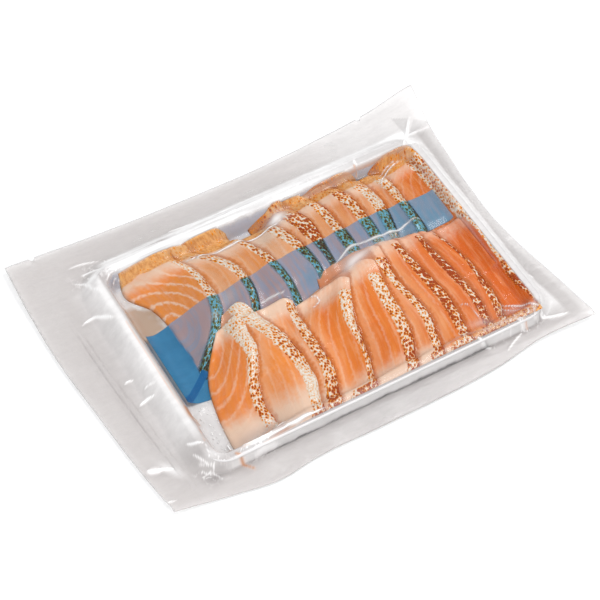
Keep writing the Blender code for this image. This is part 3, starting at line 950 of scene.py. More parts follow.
def put_slice(front, number, pile, material):
    """One slice as a closed shell. Across runs from its left edge to its right edge, closer near the seared band;
    along runs from its near end to its far end, closer near both. The underside is what lies below, and the top
    adds the slice's thickness and a fine uneven relief. Edge is the distance to the right edge in widths of the
    seared band, which is let run on round the near end and stop short of the far end."""
    row, taper, ground = (FRONT_ROW, FRONT_TAPER, pile.shelf) if front else (BACK_ROW, BACK_TAPER, pile.ground)
    piece = row[number]
    seed = 100.0 * number + (1000.0 if front else 0.0)
    along = np.linspace(0.0, 1.0, int((piece.far - piece.near) / SLICE_STEP))
    along = 0.5 - 0.5 * np.cos(np.pi * along) * (0.35 + 0.65 * np.abs(np.cos(np.pi * along)) ** 0.5)
    across = 1.0 - (1.0 - np.linspace(0.0, 1.0, SLICE_LINES)) ** 1.35
    across, along = np.meshgrid(across, np.clip(along, 0, 1), indexing="ij")
    far = far_end(piece, across)
    y = piece.near + along * (far - piece.near)
    _, right, band, breadth = slice_lines(piece, y)
    gap = (1.0 - across) * breadth
    uneven = 0.7 * lattice_noise(y + 37.0 * number, number, 9.0, 11) * across**6
    x = right - gap + uneven
    edge = gap / band
    if piece.top:
        edge = edge + 1.8 * ease(piece.top + 2.5, piece.top - 1.0, far - y)
    if piece.hook:
        edge = np.minimum(edge, (y - piece.near) / 4.2 + 3.0 * ease(piece.hook * 0.6, piece.hook, gap))

    below = ground.at(x, y) + pile.rest(row[number + 1:], taper, x, y)
    own = slice_thickness(piece, taper, x - uneven, y, pile.thickness, number == 0)
    fine = lattice_noise(x + seed, y, 1.3, 5) * 0.16 + lattice_noise(x + seed, y, 3.4, 6) * 0.16
    relief = fine * (0.35 + 0.9 * ease(1.3, 0.8, edge)) + lattice_noise(x + seed, y * 0.3, 5.0, 7) * 0.18
    z_low = pile.cap(below, y) + 0.04
    z_top = np.maximum(pile.cap(below + own + relief * np.minimum(own / 1.5, 1.0), y), z_low)
    z_top = np.where(outer_ring(x), z_low + 0.02, z_top)
    values = slice_marks(front, number, across, x, y, z_top, edge, seed)
    name = f"{'front' if front else 'back'}_slice_{number + 1:02d}"
    top, bottom = np.stack((x, y, z_top), axis=-1), np.stack((x, y, z_low), axis=-1)
    stand_in(put_shell(name, top, bottom, material, values))


class PACK_OT_back_row(PackOperator, bpy.types.Operator):
    """Adds the back row of overlapping slices, each lying on the one to its right."""

    bl_idname = "pack.back_row"
    bl_label = "Back row"

    def execute(self, context):
        _, colours, pile = self.start(context)
        material = flesh_material(colours)
        for number in range(len(BACK_ROW)):
            put_slice(False, number, pile, material)
        return {"FINISHED"}


class PACK_OT_front_row(PackOperator, bpy.types.Operator):
    """Adds the front row of overlapping slices, whose far ends lie on the sheet and the back row."""

    bl_idname = "pack.front_row"
    bl_label = "Front row"

    def execute(self, context):
        _, colours, pile = self.start(context)
        material = bpy.data.materials.get("seared_salmon") or flesh_material(colours)
        for number in range(len(FRONT_ROW)):
            put_slice(True, number, pile, material)
        return {"FINISHED"}


class PACK_OT_sheet(PackOperator, bpy.types.Operator):
    """Adds the clear sheet with the blue stripe: a taut surface over the back row, as a thin closed shell."""

    bl_idname = "pack.sheet"
    bl_label = "Striped sheet"

    def execute(self, context):
        _, colours, pile = self.start(context)
        left, right, front, back = SHEET
        x, y = np.meshgrid(np.linspace(left, right, 280), np.linspace(front, back, 120), indexing="ij")
        level = pile.sheet.at(x, y) + SHEET_LIFT
        top = np.stack((x, y, level + np.where(outer_ring(x), 0.0, SHEET_HALF)), axis=-1)
        bottom = np.stack((x, y, level - SHEET_HALF), axis=-1)
        values = sheet_marks(x, y)
        stand_in(put_shell("striped_sheet", top, bottom, sheet_material(colours), values))
        return {"FINISHED"}


def sheet_marks(x, y):
    """What the sheet shows at each place: the distance in from the stripe's edges and from its fold's, whether it
    lies over a slice's flesh or over nothing, that flesh's grain, and where the stripe is warmer or cooler."""
    left, right, _, _ = SHEET
    stripe = np.minimum(curve_through(STRIPE_FAR, x) - y, y - curve_through(STRIPE_NEAR, x))
    stripe = np.minimum(stripe, np.minimum(x - left, right - 1.5 - x))
    over, covered, grain = np.zeros_like(x), np.zeros_like(x), x.copy()
    for number, piece in reversed(list(enumerate(BACK_ROW))):
        share, edge_x, band, breadth = slice_lines(piece, y)
        here = ease(-0.4, 0.4, edge_x - x) * ease(-0.4, 0.4, x - edge_x + breadth) * (share > 0)
        grain = np.where(here > 0.5, slice_grain(number, edge_x, breadth, x, y, False), grain)
        over = over * (1 - here) + here * ease(0.85, 1.15, (edge_x - x) / band)
        covered = np.maximum(covered, here)
    (x0, y0), (x1, y1), half_width, half_length = FOLD
    run_x, run_y = np.array((x1 - x0, y1 - y0)) / math.hypot(x1 - x0, y1 - y0)
    fold = half_width - np.abs((x - x0) * run_y - (y - y0) * run_x)
    fold = np.minimum(fold, half_length - np.abs((x - (x0 + x1) / 2) * run_x + (y - (y0 + y1) / 2) * run_y))
    return {
        "stripe": stripe,
        "fold": fold,
        "over_flesh": over * covered,
        "bare": 1 - covered,
        "warm": ease(25.0, -15.0, x) * 0.35,
        "cool": ease(40.0, 72.0, x) + hill(x, y, -69.0, -15.0, 7.0, 7.0) + hill(x, y, 9.0, -1.0, 7.0, 5.0),
        "grain": np.stack((grain, y * 0.12, x * 0.02), axis=-1),
    }


class PACK_OT_bubbles(PackOperator, bpy.types.Operator):
    """Adds the tiny bubbles and drops in the tray's open front corner: a small ball, flattened by two fifths and
    cut level above and below, repeated at places and sizes drawn at random."""

    bl_idname = "pack.bubbles"
    bl_label = "Bubbles and drops"

    def execute(self, context):
        _, colours, pile = self.start(context)
        left, right, front, back = BUBBLE_AREA
        draw = np.random.default_rng(21)
        x = draw.uniform(left, right, BUBBLES)
        y = draw.uniform(front, back, BUBBLES)
        size = draw.uniform(*BUBBLE_SIZES, BUBBLES)
        turn = np.linspace(0.0, 2.0 * math.pi, 8, endpoint=False)
        turn, rise = np.meshgrid(turn, np.linspace(-1.2, 1.2, 5), indexing="ij")
        ball = np.stack((np.cos(turn) * np.cos(rise), np.sin(turn) * np.cos(rise), np.sin(rise) * 0.6), axis=-1)
        index = np.arange(ball.size // 3).reshape(turn.shape)
        ahead = np.roll(index, -1, axis=0)
        sides = np.stack((index[:, :-1], ahead[:, :-1], ahead[:, 1:], index[:, 1:]), axis=-1).reshape(-1, 4)
        level = pile.ground.at(x, y) + size * 0.4
        points = ball.reshape(1, -1, 3) * size[:, None, None] + np.stack((x, y, level), axis=1)[:, None, :]
        first = (np.arange(BUBBLES) * index.size)[:, None, None]
        cap = np.array(((0, 1, 2, 3), (0, 3, 4, 7), (4, 5, 6, 7)))
        caps = np.concatenate((index[cap[:, ::-1], 0], index[cap, -1]))
        faces = np.concatenate(((sides + first).reshape(-1, 4), (caps + first).reshape(-1, 4)))
        beads = put_mesh("bubbles", points.reshape(-1, 3), faces, bead_material(colours), {})
        stand_in(beads)
        return {"FINISHED"}


# Marks of the film: points along each, half width, rise, painted highlight and painted shade.
STROKES = (
    (((-54, 50), (-46, 47.6), (-38, 46.2), (-29, 45), (-20, 44.3), (-11, 43.5), (-2, 43), (8, 44.5),
        (17, 46.5)), 0.7, 0.5, 0.9, 0),
    (((-111.7, 81.8), (-102.7, 81.2), (-90.9, 78.4)), 0.5, 0.4, 0.6, 0),
    (((-89.5, 79.4), (-88.5, 71.3), (-89.2, 64.2)), 0.45, 0.4, 0.6, 0),
    (((-106.4, 73.6), (-100.4, 72.3), (-94.3, 66.6)), 0.9, 0.6, 1.0, 0),
    (((-113.3, 70.8), (-107.8, 66.7), (-105.8, 56.7), (-102.8, 48.8)), 0.7, 0.5, 0.9, 0),
    (((-96.5, 59.6), (-92.5, 62.1), (-87.6, 61.6), (-85.1, 59)), 0.4, 0.5, 0.8, 0),
    (((-97.2, 55.6), (-93.7, 59), (-89, 60), (-86.5, 57.5)), 0.35, 0.4, 0.7, 0),
    (((-94.3, 54), (-91, 57.3), (-87.5, 55.5)), 0.35, 0.3, 0.6, 0),
    (((-122.1, 40.1), (-117, 41.8), (-113.4, 42.1), (-109.4, 37.8), (-104.1, 29.4)), 0.75, 0.6, 1.0, 0),
    (((-48.4, 71.7), (-40.8, 70.6), (-27.9, 73.2), (-14.3, 72)), 0.8, 0.5, 1.0, 0),
    (((-46.8, 77.8), (-34.5, 76.0), (-23.8, 74.6)), 0.6, 0.4, 0.8, 0),
    (((-80, 70), (-66, 69), (-52, 67.5)), 0.7, 0.4, 0.9, 0), (((-20, 67), (4, 66.5), (20, 67.5)), 0.5, 0.4, 0.9, 0),
    (((40, 68), (66, 69), (90, 70)), 0.7, 0.4, 0.8, 0),
    (((-119.5, -72.3), (-124, -70.5), (-128.6, -67.8)), 0.9, 0.6, 1.0, 0),
    (((-126, -70), (-130, -68.5), (-134.5, -66)), 2.2, 0.5, 0.8, 0),
    (((-133.9, -90.1), (-128.2, -90.9)), 0.5, 0.4, 0.9, 0),
    (((-108.6, -63.8), (-105.6, -68), (-100.1, -71.7)), 0.6, 0.5, 0.9, 0),
    (((-100.3, -72.1), (-101.9, -79.9), (-102.7, -82.2)), 0.4, 0.4, 0.7, 0),
    (((-108.5, -71.4), (-105.5, -79.6), (-103.5, -83.5)), 0.5, 0.4, 0.7, 0),
    (((-104.7, -85.4), (-102, -88.1), (-100.1, -92.3)), 0.5, 0.4, 0.6, 0),
    (((-109.9, -85.4), (-106.6, -85), (-102, -86.3)), 0.5, 0.4, 0.6, 0),
    (((-85.6, -70.3), (-87.4, -74), (-86.2, -79), (-81.5, -82.8), (-74.3, -83.7), (-64.6, -83.2)), 0.7, 0.6, 1.0, 0),
    (((-81.1, -85.4), (-63.9, -85.2), (-44.1, -85.2), (-28.5, -85.6)), 0.45, 0.3, 0.9, 0),
    (((-60, -80.5), (-56.5, -79.5), (-53.8, -81.5)), 1.2, 0.8, 1.0, 0),
    (((-77.3, -88.9), (-71.9, -88.6), (-62.7, -89.1)), 0.6, 0.3, 0.6, 0),
    (((70.3, -61.1), (75.5, -63.5), (76.1, -68.6), (76.4, -75.8)), 0.35, 0.4, 0.55, 0),
    (((91.7, -70.6), (98, -73.6), (104, -77.4), (108.3, -82.4), (112.9, -86.2), (120.7, -89.4)), 0.45, 0.4, 0.8, 0),
    (((89.1, -72.9), (96, -76.1), (103.4, -82.3)), 0.35, 0.3, 0.5, 0),
    (((65.5, -85.2), (68.8, -87.6), (72.5, -89.1), (77.8, -91.6)), 0.45, 0.5, 0.8, 0),
    (((67.6, -85.4), (71.6, -88.1), (76.4, -90)), 0.4, -0.3, 0, 0.45),
    (((92.4, -85.6), (97, -88.4), (101.3, -91.3)), 0.4, 0.4, 0.7, 0),
    (((94.2, -86), (98.9, -88.4), (103.3, -91.2)), 0.4, 0.4, 0.6, 0),
    (((82.3, -96.8), (90.9, -92.6), (97.9, -89.8)), 0.5, 0.4, 0.8, 0),
    (((109.6, -86.5), (119, -89.6), (129.3, -92.2)), 0.9, 0.5, 0.8, 0),
    (((123.2, -57), (124.8, -60.8)), 0.6, 0.4, 0.6, 0), (((24.7, 66.1), (29.1, 69.2), (37.2, 69.8)), 0.5, 0.4, 0.9, 0),
    (((75.6, 65.4), (74.4, 61.4), (74.6, 58.8)), 0.5, 0.5, 0.9, 0),
    (((102.5, 54.4), (94, 52.2), (85.5, 46.5), (78.5, 37.2)), 0.5, 0.5, 0.9, 0),
    (((99.5, 55.1), (91.2, 53.4), (83.2, 48.1)), 0.35, 0.4, 0.7, 0),
    (((127.2, 84), (121.3, 76.9), (114, 67), (107.5, 59.3), (105.2, 56.5)), 0.7, 0.6, 1.0, 0),
    (((116.8, 71.7), (124.8, 71), (137.1, 71.2)), 0.6, 0.5, 0.8, 0),
    (((-118.8, -8.6), (-115.9, -7.9), (-112.5, -8.7)), 0.6, 0.5, 0.9, 0),
    (((-111, -18.4), (-108, -19.1), (-104.7, -21.6)), 0.5, 0.5, 0.9, 0),
    (((-118.3, -26.2), (-112.8, -24.7), (-107.5, -26.8)), 1.0, 0.7, 1.0, 0),
    (((-1.3, -10), (4.4, -12.4), (5.1, -15.1), (-1.7, -18.4)), 0.45, 0.4, 0.8, 0),
    (((-27.5, -1.3), (-18.8, -0.6), (-9.3, -2.4)), 0.6, 0.3, 0.6, 0),
    (((19, -3.5), (30.6, 2.9), (41, 6.3), (49.4, 4.9), (59.4, 4.8), (70.4, 4.8), (79.3, 6.8), (86.6, 6.4),
        (90, 1.3)), 0.9, 0.3, 0.65, 0),
    (((-126, 60), (-126.3, 41), (-126.2, 20), (-125.2, -4.4), (-123.9, -25), (-122.3, -47.3), (-120.4, -65.8),
        (-117, -104)), 0.45, -0.3, 0, 0.5),
    (((-124.3, 51), (-123.4, 32), (-122.5, 7), (-120.8, -16), (-118.8, -40), (-116.5, -70),
        (-114.5, -100)), 0.4, -0.3, 0, 0.35),
    (((74.0, 60.1), (74.4, 57.5), (72, 55.5)), 0.4, 0.3, 0.3, 0),
    (((-58, -84.5), (-50, -85.5), (-44, -84.5), (-38, -85.0)), 1.3, 0.5, 0.7, 0),
)
# Juice caught in the film's folds: points along each, half width and strength.
STAINS = (
    (((-88.5, -86.3), (-85.3, -90), (-81.8, -94.1)), 0.9, 0.85),
    (((-85.1, -83.9), (-80, -84.6), (-73.7, -84.1)), 0.6, 0.35), (((-88.0, -78.2), (-86.6, -80.6)), 1.2, 0.6),
    (((-97.8, -45), (-98, -52), (-95.8, -55.5)), 1.5, 0.85), (((-100.2, 24), (-100.6, -10), (-100.0, -46)), 0.35, 0.5),
    (((-97.8, -57.7), (-98.9, -64.7), (-99.5, -70.7)), 0.35, 0.5),
    (((-66, -80), (-62, -77.5), (-58.5, -75.5)), 1.6, 0.6), (((-72, -87.8), (-62, -87.4), (-52, -87.0)), 0.4, 0.4),
    (((74.8, 58.5), (84.9, 58.4), (95.3, 58.6), (103.7, 57.6), (109.3, 58)), 0.6, 0.85),
    (((36, 56.5), (44, 56), (49.6, 55.5), (60.8, 57.2), (72, 58.2)), 1.1, 0.75),
    (((73, 60.5), (73.4, 58), (72, 56)), 0.6, 0.8),
    (((48, -82.5), (60, -81.5), (71, -83.5), (83, -84.5), (98, -84.5)), 0.6, 0.55),
    (((105, -86.5), (109, -86), (112, -83)), 0.6, 0.5), (((98.5, -87), (101, -89.5)), 0.5, 0.6),
)
# Flat facets of the film's corner: corners in turn, and the painted shade added on each.
FACETS = (
    (((116.2, 88.0), (126.5, 81.5), (117.5, 72.5)), 0.24), (((119.5, 71.8), (127.4, 79.8), (137.5, 72.8)), 0.20),
)
# Places where the film is crumpled into fine creases: (x, y, reach along x, reach along y, strength).
CRUMPLES = (
    (-74.0, -84.0, 18.0, 4.5, 0.9), (-103.0, -84.0, 8.0, 6.0, 0.7), (-98.0, 68.0, 12.0, 8.0, 0.7),
    (98.0, -86.0, 16.0, 4.0, 0.7), (110.0, 68.0, 9.0, 7.0, 0.5), (40.0, 66.0, 40.0, 3.0, 0.4),
)
# The patches' added white is painted light, and their added shade is painted shade.
# Soft areas of the film: (x, y, reach along, reach across, turn in degrees, added haze, added white, added shade).
PATCHES = (
    (-122, -72, 8, 3, -60, 0.2, 0.5, 0.0), (-66, -82, 16, 2.6, 0, 0.25, 0.6, 0.0), (-72, -77, 12, 5, 0, 0.2, 0.3, 0.0),
    (109.5, 20, 45, 3.5, 90, 0.08, 0.2, 0.0), (32, -1, 7, 5, 20, 0.15, 0.25, 0.0),
    (41, -2.6, 9, 3.2, 14, 0.3, 0.5, 0.0), (31, -6.4, 7, 3.0, 20, 0.25, 0.4, 0.0),
    (62, 0.5, 12, 2.4, 4, 0.2, 0.35, 0.0), (12, 49, 8.5, 4.5, 15, 0.55, 1.0, 0.0),
    (-53.6, 3.6, 3.5, 2.5, 30, 0.12, 0.4, 0.0), (-57, 70, 8, 2.6, 10, 0.1, -0.8, 0.08),
    (-95, 30, 6, 14, -6, 0.1, 0.1, 0.0), (-104, -90, 5, 2.8, -20, 0.1, 0.0, 0.40), (-100, 66, 7, 4, 20, 0.1, 0.7, 0.0),
    (-117, 10, 5, 30, -8, 0.1, 0.0, 0.1), (-112, 50, 8, 10, 0, 0.1, 0.0, 0.05), (10, 88, 46, 5, 0, 0.1, 0.0, 0.05),
    (-70, 88, 40, 5, 2, 0.1, 0.0, 0.05), (99, -79, 9, 3.4, -12, 0.2, 0.3, 0.0),
    (-72, -84.5, 14, 2.4, 0, 0.25, 0.8, 0.0), (-98, -80, 7, 5, 0, 0.1, 0.5, 0.0), (76, -79, 7, 3, -20, 0.2, 0.3, 0.0),
    (-40, 12, 6, 5, 30, 0.12, 0.3, 0.0),
)


def stroke_marks(points, x, y):
    """Distance of each place from a smooth curve through the points, and its share of the way from the nearer of
    the curve's ends. The curve is taken as short straight steps, each with its own foot of the perpendicular."""
    points = np.array(points, float)
    run = np.concatenate(([0.0], np.cumsum(np.hypot(*np.diff(points, axis=0).T))))
    at = np.linspace(0.0, run[-1], 5 * len(points))
    curve = np.stack([curve_through(list(zip(run, points[:, k])), at) for k in (0, 1)], axis=1)
    nearest, along = np.full_like(x, 1e9), np.zeros_like(x)
    for (start_x, start_y), (end_x, end_y), start in zip(curve[:-1], curve[1:], at[:-1]):
        step_x, step_y = end_x - start_x, end_y - start_y
        length = math.hypot(step_x, step_y)
        share = np.clip(((x - start_x) * step_x + (y - start_y) * step_y) / length**2, 0.0, 1.0)
        away = np.hypot(x - start_x - share * step_x, y - start_y - share * step_y)
        along = np.where(away < nearest, start + share * length, along)
        nearest = np.minimum(nearest, away)
    return nearest, np.minimum(along, run[-1] - along) / run[-1]


def facet_depth(corners, x, y):
    """How far in from the nearest side of a flat facet each place is; negative outside."""
    depth = np.full_like(x, 9.0)
    middle_x, middle_y = np.mean(corners, axis=0)
    for (from_x, from_y), (to_x, to_y) in zip(corners, corners[1:] + corners[:1]):
        side = (x - from_x) * (to_y - from_y) - (y - from_y) * (to_x - from_x)
        inner = (middle_x - from_x) * (to_y - from_y) - (middle_y - from_y) * (to_x - from_x)
        depth = np.minimum(depth, side * math.copysign(1.0, inner) / math.hypot(to_x - from_x, to_y - from_y))
    return depth


def film_marks(x, y):
    """Height, painted highlight, haze, soft painted light, soft haze, painted shade and stain of the film's marks at
    each place. A stroke is a ridge by the exponential of its squared distance, finer towards its ends; the crumples'
    creases lie where a noise is near zero; a patch is a turned hill."""
    height, glint, haze, shade, crumple, soft_haze, soft_painted_light, stain = (np.zeros_like(x) for _ in range(8))
    for points, half, rise, white, dark in STROKES:
        (low_x, low_y), (high_x, high_y) = np.min(points, axis=0), np.max(points, axis=0)
        near = (x > low_x - 4) & (x < high_x + 4) & (y > low_y - 4) & (y < high_y + 4)
        away, inwards = stroke_marks(points, x[near], y[near])
        wave = 1.0 + 0.35 * lattice_noise(x[near] + y[near] * 0.6, y[near] * 0.7, 4.0, 41)
        width = half * wave * (0.45 + 0.55 * ease(0.0, 0.4, inwards))
        ridge = np.exp(-((away / width) ** 2)) * ease(0.0, 0.15, inwards)
        height[near] += rise * ridge
        glint[near] = np.maximum(glint[near], white * ridge)
        shade[near] = np.maximum(shade[near], dark * ridge)
        haze[near] = np.maximum(haze[near], 0.9 * max(white, dark) * ridge)
    coarse, fine = lattice_noise(x + y * 0.5, y * 0.9, 4.2, 61), lattice_noise(x, y, 1.6, 62)
    crease = ease(0.16, 0.02, np.abs(coarse + 0.3 * fine))
    for at_x, at_y, reach_x, reach_y, strength in CRUMPLES:
        crumple = np.maximum(crumple, strength * hill(x, y, at_x, at_y, reach_x, reach_y) * crease)
    # The crumples' creases are raised a little and carry painted highlights and haze.
    height += 0.35 * crumple
    glint, haze = np.maximum(glint, crumple), np.maximum(haze, 0.7 * crumple)
    for at_x, at_y, reach_x, reach_y, turn, more_haze, more_painted_light, more_painted_shade in PATCHES:
        turn = math.radians(turn)
        along = (x - at_x) * math.cos(turn) + (y - at_y) * math.sin(turn)
        aside = (y - at_y) * math.cos(turn) - (x - at_x) * math.sin(turn)
        soft = hill(along, aside, 0.0, 0.0, reach_x, reach_y)
        soft_painted_light += more_painted_light * soft
        soft_haze += more_haze * soft
        shade += more_painted_shade * soft
    for corners, more_painted_shade in FACETS:
        depth = facet_depth(corners, x, y)
        shade += more_painted_shade * ease(-0.2, 0.5, depth) * (1.0 - 0.4 * ease(0.5, 6.0, depth))
    for points, half, strength in STAINS:
        stain = np.maximum(stain, strength * np.exp(-((stroke_marks(points, x, y)[0] / half) ** 2)))
    return height, glint, np.maximum(haze, stain * 0.9), soft_painted_light, soft_haze, shade, stain


def border_marks(x, y, fall):
    """Painted light and painted shade of the film's drape and border, each a product of eased bands across and
    along: painted light behind and beside the tray, on its left and front slopes and at the back right, a ragged
    line of painted shade where the front wall meets the border, and painted shade greying it towards the right
    and along the front."""
    streak = 0.5 + 0.5 * lattice_noise(x * 0.1 + 3.0, y + x * 0.03, 1.8, 51)
    inner = 58.8 + 0.8 * lattice_noise(x, 0.0, 6.0, 53)
    outer = 122.5 + 1.5 * ease(30.0, 60.0, y) + 5.0 * ease(-45.0, -85.0, y)
    to_right = ease(20.0, 90.0, x)
    back = ease(-0.8, 0.8, y - inner) * ease(78.5, 74.0, y) * between(-99.0, -88.0, 114.0, 124.0, x)
    back *= (0.6 + 0.4 * streak) * (1.0 - 0.45 * to_right)
    right = ease(110.8, 112.6, x) * ease(1.2, -1.2, x - outer) * between(-94.0, -80.0, 62.0, 74.0, y)
    left = between(-124.0, -101.0, -101.0, -98.5, x) * between(-80.0, -55.0, 58.0, 70.0, y)
    front = ease(-86.8, -87.6, y) * between(-100.0, -90.0, 104.0, 112.0, x)
    corner = to_right * ease(64.0, 76.0, y)
    # Painted light: a painted reflection on the drape behind and right of the tray and on the back right border, and
    # the left and front slopes lightened as if lit as well as the flat border.
    white = back + right * 0.5 + front * ease(1.0, 0.7, fall) * 0.42 + left * 0.6 + corner * 0.4

    # Painted shade: a ragged dark line in the fold at the front wall's foot, greyer towards the right and along the
    # right edge, and darker along the front border's middle.
    seam = between(-84.0, -60.0, 66.0, 80.0, x) * (0.8 + 0.3 * lattice_noise(x, 0.0, 2.6, 52))
    ragged = 1.02 + 0.12 * lattice_noise(x, 0.0, 7.0, 54) + 0.05 * lattice_noise(x, 0.0, 1.6, 55)
    line = 1.3 * np.exp(-(((fall - ragged) / (0.14 + 0.1 * ease(-20.0, 50.0, x))) ** 2))
    line += 0.14 * between(0.3, 0.9, 1.0, 1.15, fall)
    shade = front * seam * line + 0.1 * ease(-40.0, 110.0, x) * (fall > 1.0) * ease(78.0, 66.0, y)
    shade += 0.1 * ease(-1.5, 1.5, x - outer) * ease(80.0, 66.0, y)
    shade += 0.24 * ease(-90.0, -95.0, y) * np.exp(-(((x - 5.0) / 60.0) ** 2))
    return white, shade


class PACK_OT_film(PackOperator, bpy.types.Operator):
    """Adds the bag: an upper film drawn over everything and a lower film under the tray, joined round the edge."""

    bl_idname = "pack.film"
    bl_label = "Vacuum film"

    def execute(self, context):
        sizes, colours, pile = self.start(context)
        x, y = np.meshgrid(joined(FILM_COLUMNS), joined(FILM_ROWS), indexing="ij")
        to_edge = np.minimum(np.minimum(x - BAG[0], BAG[1] - x), np.minimum(y - BAG[2], BAG[3] - y))
        x, y = warp(x, y)
        level, values = upper_film(x, y, to_edge, pile, sizes.film_gap / MM)
        top = np.stack((x, y, level - 0.1 * outer_ring(x)), axis=-1)
        put_pouch(top, values, film_material(colours), pile)
        return {"FINISHED"}


def upper_film(x, y, to_edge, pile, film_gap):
    """Height of the upper film and what it shows. Over the tray it is the pile's taut film, and past the rim it
    comes down to the border by the drape's share; marks and wrinkles are added. It is hazier on the rim, on the
    border, and where it stands off what it covers."""
    fall, share = drape_fall(x, y), drape_share(x, y)
    draped = share < 1.0
    border = border_level(x, y)
    height, glint, haze, soft_painted_light, soft_haze, shade, stain = film_marks(x, y)
    level = np.where(draped, border + (pile.rim - border) * share + film_gap, pile.film.at(x, y)) + height
    wrinkle = lattice_noise(x * 0.5 + y * 0.3, y * 0.4 - x * 0.2, 7.0, 31) * 0.25
    pucker = lattice_noise(x + y * 0.6, y * 0.5, 2.4, 33) * 0.3
    level += wrinkle * ease(0.08, 0.0, share)
    level += pucker * ease(-102.0, -96.0, x) * between(0.0, 0.2, 0.8, 1.2, fall)
    gap = np.where(draped, 0.0, level - height - pile.contents.at(x, y) - film_gap)
    # Where the film stands off the front row's far ends, it is hazier and carries a painted highlight.
    bridge = ease(0.4, 1.6, gap) * between(-24.0, -14.0, 8.0, 20.0, y) * between(-30.0, -10.0, 94.0, 100.0, x)
    edge_painted_light, edge_painted_shade = border_marks(x, y, fall)
    past_rim = outside(OPENING, OPENING_CORNER, x, y)
    rim_haze = ease(-0.8, 0.6, past_rim) * (0.4 - 0.3 * ease(-70.0, -60.0, x) * ease(-80.0, -84.0, y))
    rim_haze = np.maximum(rim_haze, 0.6 * ease(-2.6, -0.6, past_rim) * ease(-90.0, -94.0, x))
    body = np.where(draped, 0.62, np.maximum(0.13 * ease(0.6, 3.0, gap), bridge * 0.4) + rim_haze)
    # Painted light: the bridge's painted highlight, and the patches' and the border's painted light.
    white = np.where(draped, 0.0, bridge * 0.6) + soft_painted_light + edge_painted_light
    haze = np.clip(body + soft_haze + edge_painted_light * 0.3 + haze, 0.0, 0.96)
    return level, {
        "haze": haze * (0.6 + 0.4 * ease(0.0, 1.0, to_edge)),
        "glint": np.clip(np.maximum(glint, white), 0.0, 1.0),
        "shade": np.clip(shade + edge_painted_shade, 0.0, 1.0),
        "stain": stain,
    }


def put_pouch(top, values, material, pile):
    """The upper film's grid closed below: its outline is carried inwards in rings, each a share of the way to the
    flat underside, that sink to it but stay under the upper film."""
    columns, rows = top.shape[:2]
    index = np.arange(columns * rows).reshape(columns, rows)
    ring = np.concatenate((index[:, 0], index[-1, 1:], index[-2::-1, -1], index[0, -2:0:-1]))
    outline = top.reshape(-1, 3)[ring]
    left, right, front, back = UNDERSIDE
    middle, half = np.array((left + right, front + back)) / 2, np.array((right - left, back - front)) / 2
    inner = middle + np.clip(outline[:, :2] - middle, -half, half)
    rings = []
    for share in (0.004, 0.06, 0.3, 0.55, 0.8, 1.0):
        place = outline[:, :2] * (1 - share) + inner * share
        under = (pile.film.at(*place.T) - 0.15) * ease(0.85, 0.25, share)
        under = np.minimum(np.minimum(under, outline[:, 2] * (1 - share) + 1.4 * share), 8.0)
        rings.append(np.column_stack((place, np.maximum(under, 0.05))))
    more = len(ring) * len(rings)
    numbers = np.concatenate((ring[None], columns * rows + np.arange(more).reshape(len(rings), -1)))
    points = np.concatenate([top.reshape(-1, 3)] + rings)
    faces = np.concatenate((grid_faces(columns, rows), loop_faces(numbers)))
    spread = {key: np.concatenate((value.ravel(), np.zeros(more))) for key, value in values.items()}
    film = put_mesh("vacuum_film", points, faces, material, spread)
    close_loop(film.data, numbers[-1][::-1])
    stand_in(film)


# Stage, in metres: how far the floor reaches each way and how far below the pack it lies, the surrounding light's
# colour and strength, and each softbox's name, place, side and watts.
FLOOR_REACH = 3.0
FLOOR_DROP = 0.0005
STUDIO_COLOUR = (0.98, 0.99, 1.0, 1.0)
STUDIO_STRENGTH = 0.76
SOFTBOXES = (("key", (0.7, 0.05, 1.2), 0.7, 10.5), ("fill", (-0.7, -0.9, 0.7), 0.8, 8.5))


class PACK_OT_stage(PackOperator, bpy.types.Operator):
    """Adds the pale floor, the soft studio light and the camera, which looks down at the pack from its front left."""

    bl_idname = "pack.stage"
    bl_label = "Stage"

    def execute(self, context):
        scene = context.scene
        reach, low = FLOOR_REACH, -FLOOR_DROP
        corners = [(-reach, -reach, low), (reach, -reach, low), (reach, reach, low), (-reach, reach, low)]
        mesh = bpy.data.meshes.new("floor")
        mesh.from_pydata(corners, [], [(0, 1, 2, 3)])
        g = Graph("floor_white")
        mesh.materials.append(g.done(g.node("ShaderNodeBsdfPrincipled", {}, (0.9, 0.9, 0.9), Roughness=0.9)))
        floor = bpy.data.objects.new("floor", mesh)
        scene.collection.objects.link(floor)
        world = bpy.data.worlds.new("studio")
        world.use_nodes = True
        light = world.node_tree.nodes["Background"].inputs
        light["Color"].default_value = STUDIO_COLOUR
        light["Strength"].default_value = STUDIO_STRENGTH
        scene.world = world
        for name, place, side, watts in SOFTBOXES:
            add_softbox(name, place, side, watts)
        add_camera(scene)
        scene.view_settings.view_transform = "Standard"
        return {"FINISHED"}


def add_softbox(name, place, side, watts):
    """A square softbox that faces the pack. Only the key light is mirrored in it."""
    light = bpy.data.lights.new(name, "AREA")
    light.size = side
    light.energy = watts
    made = bpy.data.objects.new(name, light)
    made.location = place
    made.rotation_euler = Vector(place).to_track_quat("Z", "Y").to_euler()
    made.visible_glossy = name == "key"
    bpy.context.scene.collection.objects.link(made)


# Camera: its turn from straight in front, its rise above the table, its distance in metres, its lens and the place
# on the plan that it looks at.
CAMERA_TURN = math.radians(-29.7)
CAMERA_RISE = math.radians(52.95)
CAMERA_DISTANCE = 1.2
CAMERA_LENS = 123.0
CAMERA_AIM = (-1.6, -4.3, 0.0)


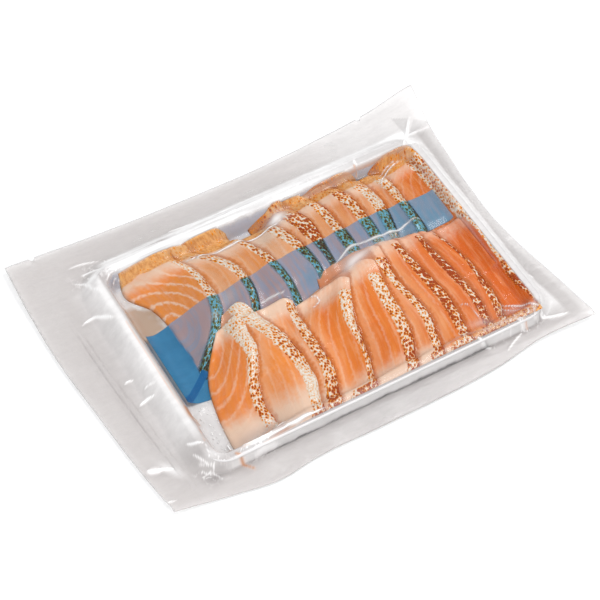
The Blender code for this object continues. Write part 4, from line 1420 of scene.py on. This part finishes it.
def add_camera(scene):
    """A camera on a line out from its aim, at its turn and rise."""
    lens = bpy.data.cameras.new("camera")
    lens.lens = CAMERA_LENS
    lens.sensor_width = 36.0
    made = bpy.data.objects.new("camera", lens)
    back = Vector((
        math.sin(CAMERA_TURN) * math.cos(CAMERA_RISE),
        -math.cos(CAMERA_TURN) * math.cos(CAMERA_RISE),
        math.sin(CAMERA_RISE),
    ))
    aim = Vector((np.array(CAMERA_AIM) - MIDDLE) * MM)
    made.location = aim + back * CAMERA_DISTANCE
    made.rotation_euler = back.to_track_quat("Z", "Y").to_euler()
    scene.collection.objects.link(made)
    scene.camera = made


class PACK_PT_panel(bpy.types.Panel):
    """The pack's sizes, colours and operators in the 3D view's sidebar."""

    bl_label = "Salmon Pack"
    bl_idname = "PACK_PT_panel"
    bl_space_type = "VIEW_3D"
    bl_region_type = "UI"
    bl_category = "Salmon Pack"

    def draw(self, context):
        for group in (context.scene.pack_sizes, context.scene.pack_colours):
            box = self.layout.box()
            for key in group.__annotations__:
                box.prop(group, key)
        for operator in OPERATORS:
            self.layout.operator(operator.bl_idname)


OPERATORS = (
    PACK_OT_tray, PACK_OT_back_row, PACK_OT_sheet, PACK_OT_front_row, PACK_OT_bubbles, PACK_OT_film, PACK_OT_stage,
)
CLASSES = (PackSizes, PackColours) + OPERATORS + (PACK_PT_panel,)


def register():
    """Registers the classes and gives each scene the pack's sizes and colours."""
    for kind in CLASSES:
        bpy.utils.register_class(kind)
    bpy.types.Scene.pack_sizes = bpy.props.PointerProperty(type=PackSizes)
    bpy.types.Scene.pack_colours = bpy.props.PointerProperty(type=PackColours)


def unregister():
    """Takes back what register has added."""
    del bpy.types.Scene.pack_colours
    del bpy.types.Scene.pack_sizes
    for kind in reversed(CLASSES):
        bpy.utils.unregister_class(kind)


def main():
    """Adds every piece and the stage."""
    register()
    bpy.ops.pack.tray()
    bpy.ops.pack.back_row()
    bpy.ops.pack.sheet()
    bpy.ops.pack.front_row()
    bpy.ops.pack.bubbles()
    bpy.ops.pack.film()
    bpy.ops.pack.stage()


if __name__ == "__main__":
    main()
